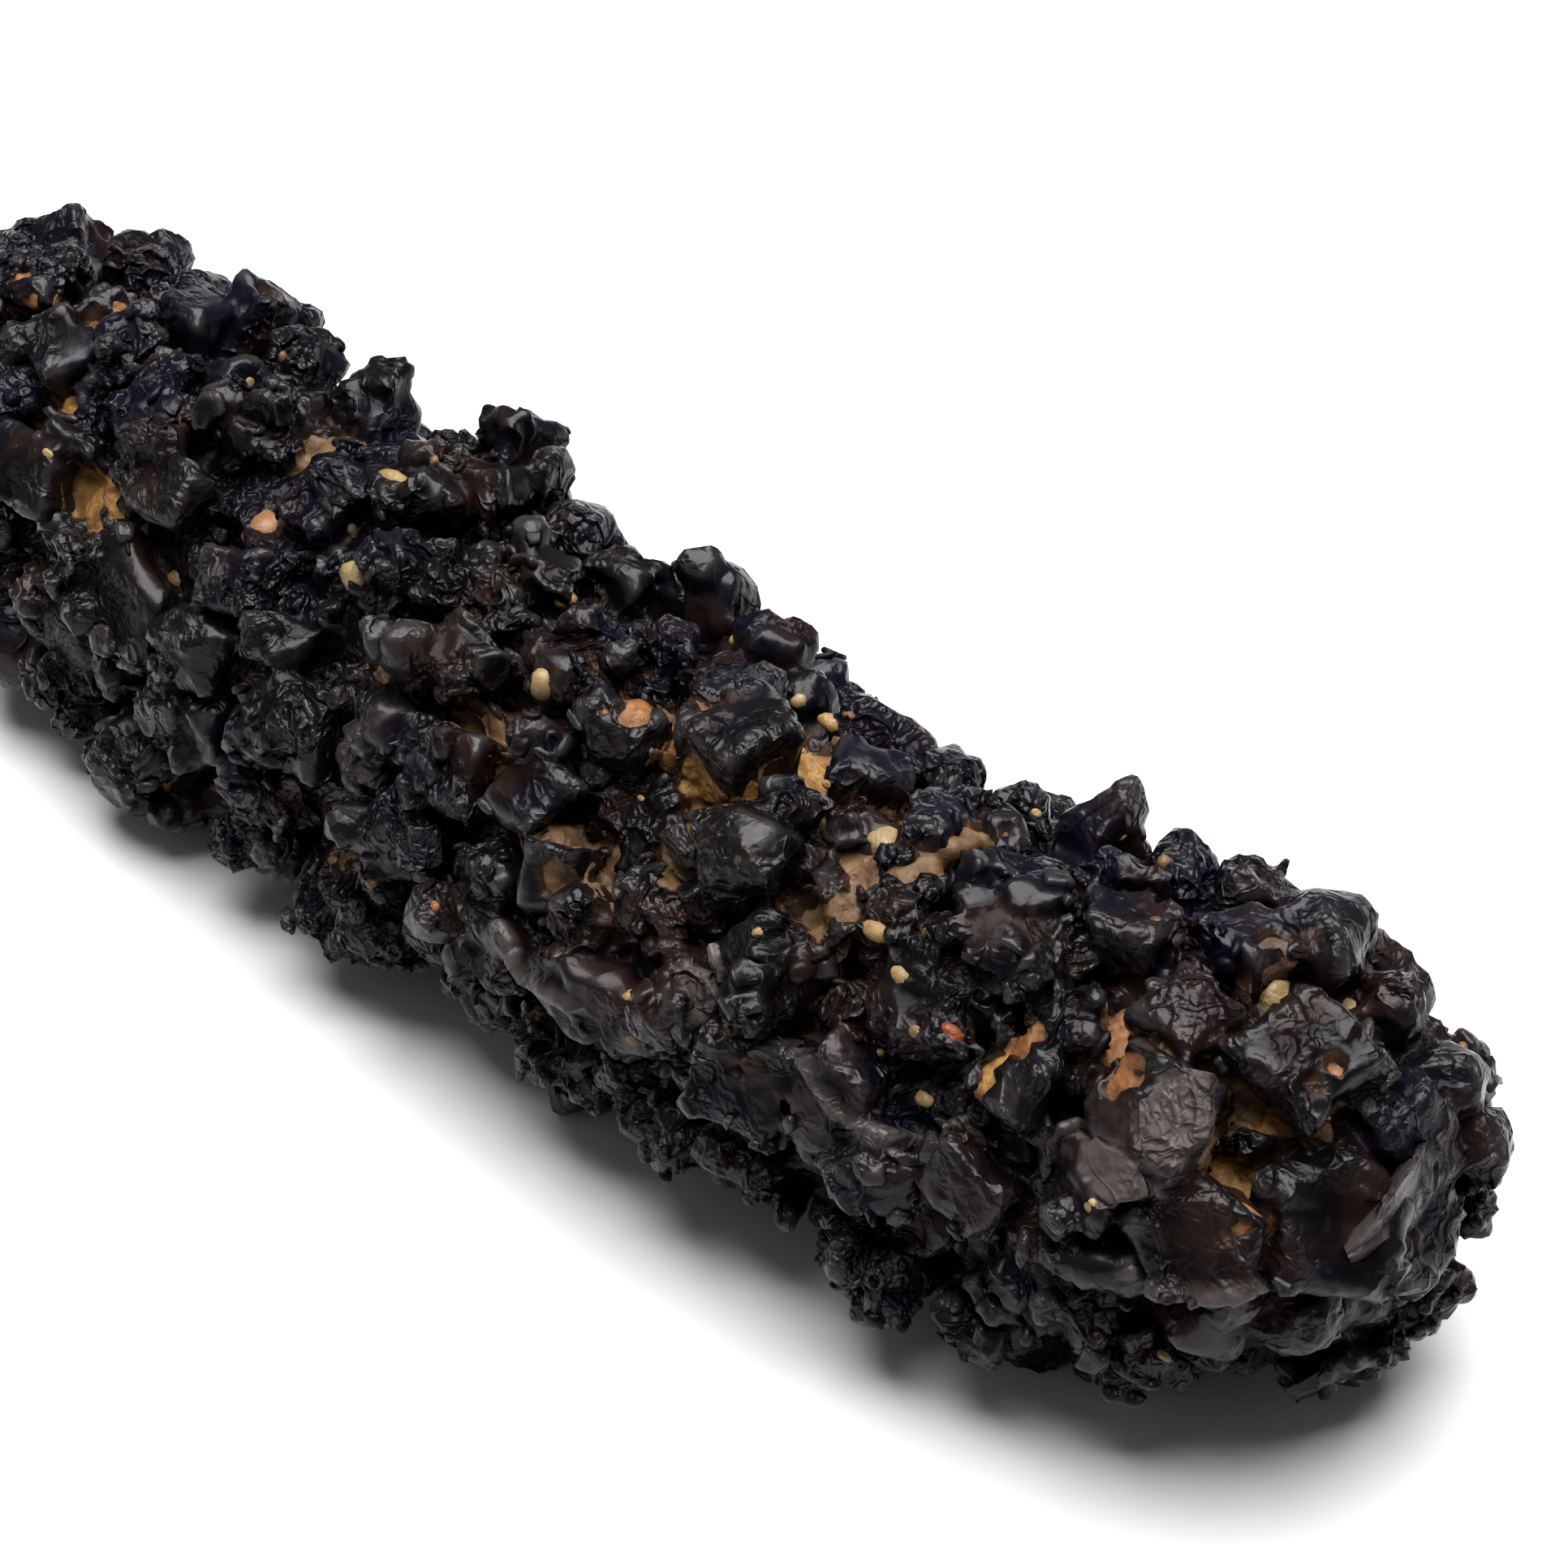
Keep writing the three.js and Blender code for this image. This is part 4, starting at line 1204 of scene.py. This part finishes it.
def grow_crust(settings):
    """The solid's crystals rounded, lesser crystals grown on them, all in one skin, then etched"""
    finish = oxide_material("black_oxide", fold=0.22, facet=0.14, pit=0.08, rubbed_and_highlight_colour=RUBBED_AND_HIGHLIT_CRUST)
    coarser = 1.0
    base = smoothed(remeshed(frame_solid("rounded"), settings.rounding * coarser), 1)
    paint(base.data, "room", 1)
    etched(base, finish, depth=settings.relief * 0.6, dent_size=2.6, lump_size=2.2, worms=0.0,
           warp=settings.warp)
    deepened(base, settings.gaps)
    tree = tree_of(base.data)
    points = corners(base.data)
    room = (1 - bareness(points, tree)) * box_room(points) * (1 - 0.7 * far_shoulder(points))
    paint(base.data, "room", room)
    lesser = strewn("lesser", base, block_habits(), finish, where="room", spacing=settings.spacing,
                    least=1.1 * MM, most=2.5 * MM, sink=0.22, lean=0.45, clumping=0.9, clump_size=5.0, seed=5)
    crust = remeshed(joined("crystal_crust", [base, lesser]), settings.voxel * coarser)
    smoothed(crust, 2)
    deepened(crust, 0.55, int(60 / coarser ** 2))
    lay_flakes(crust.data, tree)
    points = corners(crust.data)
    stand, _, _ = standing(crust.data, int(70 / coarser ** 2))
    ochre, stain, nearest = ochre_field(points, tree, all_patches(), stand / MM)
    room = (1 - bareness(points, tree)) * (1 - ochre) * (1 - painted(crust.data, "flake"))
    paint(crust.data, "room", room)
    paint(crust.data, "ochre", ochre)
    paint(crust.data, "stain", stain)
    etched(crust, finish, depth=settings.relief, calm=0.45, worm_size=FOLD_SIZE, worms=1.3)
    raise_folds(crust.data, tree)
    lay_ochre(crust, nearest)
    sink(crust.data, ochre * 0.8 * MM)
    thinned(crust, settings.triangles)
    inside_box(crust.data)
    points = corners(crust.data)
    paint(crust.data, "room", painted(crust.data, "room") * box_room(points, 0.5))
    underside = np.clip((5 - points[:, 2] / MM) / 3, 0, 1)
    druse = painted(crust.data, "room") * (1 - 0.95 * far_shoulder(points)) * (1 - 0.6 * underside)
    paint(crust.data, "druse", druse)
    paint(crust.data, "proud", proudness(crust.data))
    return crust


def lay_ochre(crust, nearest):
    """Ochre fill: a smooth skin a little below the crust's, where its ochre field says, with a back"""
    bm = bmesh.new()
    bm.from_mesh(crust.data)
    field = bm.verts.layers.float["ochre"]
    patch = bm.verts.layers.int.new("patch")
    for vert, number in zip(bm.verts, nearest.tolist()):
        vert[patch] = number
    bare = [face for face in bm.faces if max(vert[field] for vert in face.verts) < 0.08]
    bmesh.ops.delete(bm, geom=bare, context="FACES")
    fill = linked("ochre_fill", mesh_from(bm, "ochre_fill"))
    thinned(fill, FILL_TRIANGLES)
    smoothed(fill, 8)
    sink(fill.data, np.full(len(fill.data.vertices), FILL_DEPTH))
    modifier = fill.modifiers.new("Back", "SOLIDIFY")
    modifier.thickness = FILL_THICKNESS
    modifier.offset = -1
    settled(fill)


class STONE_OT_crust(bpy.types.Operator):
    """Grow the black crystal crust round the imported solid"""
    bl_idname = "stone.crust"
    bl_label = "Crystal Crust"

    def execute(self, context):
        crust = grow_crust(context.scene.stone_crust)
        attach(crust, BODY)
        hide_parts(STONE)
        return {"FINISHED"}


class STONE_OT_flakes(bpy.types.Operator):
    """Lay thin plates on the crust, and the lip of the crystal at the blunt end"""
    bl_idname = "stone.flakes"
    bl_label = "Thin Flakes"

    def execute(self, context):
        crust = bpy.data.objects["crystal_crust"]
        flakes = flake_plates(tree_of(crust.data))
        paint(flakes.data, "room", 1)
        paint(flakes.data, "stain", 0)
        flakes.data.materials.append(bpy.data.materials["black_oxide"])
        inside_box(flakes.data)
        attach(flakes, BODY)
        return {"FINISHED"}


class STONE_OT_druse(bpy.types.Operator):
    """Strew small crystals and worm-like ridges over the crust"""
    bl_idname = "stone.druse"
    bl_label = "Druse"

    def execute(self, context):
        settings = context.scene.stone_druse
        crust = bpy.data.objects["crystal_crust"]
        finish = oxide_material("druse_oxide", fold=0.11, facet=0.10, pit=0.05, rubbed_and_highlight_colour=RUBBED_AND_HIGHLIT_DRUSE)
        coarser = 1.0
        coarse = strewn("druse_coarse", crust, small_habits(), finish, where="druse",
                        spacing=settings.coarse_spacing, least=0.9 * MM, most=1.7 * MM, sink=0.12, lean=0.26,
                        clumping=1.0, clump_size=4.0, seed=21)
        smoothed(remeshed(coarse, settings.voxel * coarser), 1)
        paint(coarse.data, "room", 1)
        etched(coarse, finish, depth=0.08 * MM, dent_size=0.9, lump_size=0.7, worm_size=0.8, calm=0.8)
        thinned(coarse, settings.triangles)
        fine = strewn("druse_fine", crust, fine_habits(), finish, where="druse",
                      spacing=settings.fine_spacing, least=0.6 * MM, most=1.1 * MM, sink=0.08, lean=0.2,
                      clumping=0.95, clump_size=4.2, seed=33)
        for piece in (coarse, fine):
            inside_box(piece.data)
            for name, value in (("room", 1), ("stain", 0), ("flake", 0)):
                paint(piece.data, name, value)
        paint(coarse.data, "proud", proudness(coarse.data))
        for piece in (coarse, fine):
            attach(piece, BODY)
        return {"FINISHED"}


def tint(mesh, tones):
    """Stores a colour at each vertex"""
    colours = np.ones((len(tones), 4), np.float32)
    colours[:, :3] = tones
    layer = mesh.attributes.get("tone") or mesh.attributes.new("tone", "FLOAT_COLOR", "POINT")
    layer.data.foreach_set("color", colours.ravel())


class STONE_OT_ochre(bpy.types.Operator):
    """Finish the sandy ochre that fills hollows between the crystals"""
    bl_idname = "stone.ochre"
    bl_label = "Ochre Fill"

    def execute(self, context):
        fill = bpy.data.objects["ochre_fill"]
        finish = sandy_material("ochre_cement", roughness=0.48, mottling=0.9)
        paint(fill.data, "room", 1)
        etched(fill, finish, depth=0.14 * MM, lump_size=0.8, dent_size=1.6, calm=1.0)
        nearest = gathered(fill.data.attributes["patch"].data, "value", kind=np.int32)
        tones = np.array([TONES[patch[4]] for patch in all_patches()])
        tint(fill.data, tones[nearest])
        inside_box(fill.data)
        fill.data.shade_smooth()
        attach(fill, BODY)
        return {"FINISHED"}


def grain_places(seed=11, count=70):
    """Every grain of sand: the listed ones and small ones scattered by chance"""
    chance = random.Random(seed)
    tones = ("straw", "pale", "tan", "tan", "brown")
    extra = [(chance.uniform(-37, 37), chance.uniform(-70, 290), chance.uniform(0.35, 0.7),
              chance.uniform(0.35, 0.7), chance.choice(tones)) for _ in range(count)]
    return list(GRAINS) + extra


GRAIN_HEIGHT = 0.8  # of a grain's mean width
GRAIN_SINK = 0.13  # of its length and width together
GRAIN_BULGE = 0.38  # how far noise pushes its sides out or in
GRAIN_NOISE = 0.45 * MM


class STONE_OT_grains(bpy.types.Operator):
    """Set grains of sand in the hollows"""
    bl_idname = "stone.grains"
    bl_label = "Sand Grains"

    def execute(self, context):
        crust = bpy.data.objects["crystal_crust"]
        tree = tree_of(crust.data)
        chance = random.Random(4)
        bm = bmesh.new()
        tones = []
        for along, around, length, width, tone in grain_places():
            centre, normal = landing(tree, along, around)
            height = 0.5 * (length + width) * MM * GRAIN_HEIGHT
            size = Matrix.Diagonal((length * MM, width * MM, height, 1))
            sunk = centre - normal * GRAIN_SINK * (length + width) * MM
            place = Matrix.Translation(sunk) @ turned_to(normal)
            made = bmesh.ops.create_icosphere(bm, subdivisions=2, radius=0.5, matrix=place @ size)
            drift = Vector((chance.uniform(0, 90), chance.uniform(0, 90), chance.uniform(0, 90)))
            for vert in made["verts"]:
                bulge = noise.noise((vert.co - centre) / GRAIN_NOISE + drift)
                vert.co += (vert.co - centre) * GRAIN_BULGE * bulge
            tones += [TONES[tone]] * len(made["verts"])
        mesh = mesh_from(bm, "sand_grains")
        grains = linked("sand_grains", mesh)
        tint(mesh, np.array(tones))
        paint(mesh, "ochre", 1)
        mesh.materials.append(sandy_material("sand_grain", roughness=0.34, mottling=0.45))
        mesh.shade_smooth()
        inside_box(mesh)
        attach(grains, BODY)
        return {"FINISHED"}


# ---- Stage ---------------------------------------------------------------------------------------

# Round lamps: [name, metres beyond the stone from the camera, to the right, up, width, watts]
LAMPS = (("window", 0.035, 0.015, 0.38, 0.44, 6.9), ("bounce", -0.20, -0.25, 0.30, 0.35, 0.1))
SKY_COLOUR = (0.95, 0.97, 1.0, 1)
SKY_STRENGTH = 0.16


def looking(thing, place, target):
    """Stands a lamp or camera at a place, facing a target"""
    thing.location = place
    thing.rotation_euler = (target - place).to_track_quat("-Z", "Y").to_euler()
    bpy.context.scene.collection.objects.link(thing)


def soft_light(name, place, width, watts):
    """A round lamp facing the stone"""
    lamp = bpy.data.lights.new(name, "AREA")
    lamp.shape = "DISK"
    lamp.size = width
    lamp.energy = watts
    looking(bpy.data.objects.new(name, lamp), place, LOOKED_AT)


class STONE_OT_stage(bpy.types.Operator):
    """Set out the floor, light and camera"""
    bl_idname = "stone.stage"
    bl_label = "Stage"

    def execute(self, context):
        scene = context.scene
        stage = scene.stone_stage
        half = stage.floor_size / 2
        mesh = bpy.data.meshes.new("floor")
        corner_points = [(-half, -half, 0), (half, -half, 0), (half, half, 0), (-half, half, 0)]
        mesh.from_pydata(corner_points, [], [(0, 1, 2, 3)])
        mesh.materials.append(floor_material())
        linked("floor", mesh)

        eye = eye_point()
        heading = (LOOKED_AT - eye).to_2d().normalized()
        ahead = Vector((heading.x, heading.y, 0))
        right = Vector((heading.y, -heading.x, 0))
        up = Vector((0, 0, 1))
        for name, far, aside, high, width, watts in LAMPS:
            soft_light(name, LOOKED_AT + ahead * far + right * aside + up * high, width, watts)

        world = bpy.data.worlds.new("studio")
        world.use_nodes = True
        sky = world.node_tree.nodes["Background"]
        sky.inputs["Color"].default_value = SKY_COLOUR
        sky.inputs["Strength"].default_value = SKY_STRENGTH
        scene.world = world

        camera = bpy.data.cameras.new("camera")
        camera.lens = stage.lens
        camera.sensor_width = 36
        camera.clip_start = 0.01
        holder = bpy.data.objects.new("camera", camera)
        looking(holder, eye, LOOKED_AT)
        scene.camera = holder
        scene.view_settings.view_transform = "Standard"
        return {"FINISHED"}


# ---- Sidebar -------------------------------------------------------------------------------------

class STONE_PT_sidebar(bpy.types.Panel):
    """Sizes and steps of the stone"""
    bl_idname = "STONE_PT_sidebar"
    bl_label = "Prophecy Stone"
    bl_space_type = "VIEW_3D"
    bl_region_type = "UI"
    bl_category = "Prophecy Stone"

    def draw(self, context):
        for owner, steps in STEPS:
            settings = getattr(context.scene, owner)
            box = self.layout.box()
            for name in settings.__annotations__:
                box.prop(settings, name)
            for step in steps:
                box.operator(step)


STEPS = (
    ("stone_crust", ("stone.crust",)),
    ("stone_druse", ("stone.flakes", "stone.druse", "stone.ochre", "stone.grains")),
    ("stone_stage", ("stone.stage",)),
)
SETTINGS = {"stone_crust": CrustSettings, "stone_druse": DruseSettings, "stone_stage": StageSettings}
CLASSES = (*SETTINGS.values(), STONE_OT_crust, STONE_OT_flakes, STONE_OT_druse, STONE_OT_ochre,
           STONE_OT_grains, STONE_OT_stage, STONE_PT_sidebar)


def register():
    for made in CLASSES:
        bpy.utils.register_class(made)
    for name, settings in SETTINGS.items():
        setattr(bpy.types.Scene, name, bpy.props.PointerProperty(type=settings))


def unregister():
    for name in SETTINGS:
        delattr(bpy.types.Scene, name)
    for made in reversed(CLASSES):
        bpy.utils.unregister_class(made)


def main():
    register()
    bpy.ops.stone.stage()
    bpy.ops.stone.crust()
    bpy.ops.stone.flakes()
    bpy.ops.stone.druse()
    bpy.ops.stone.ochre()
    bpy.ops.stone.grains()


if __name__ == "__main__":
    main()
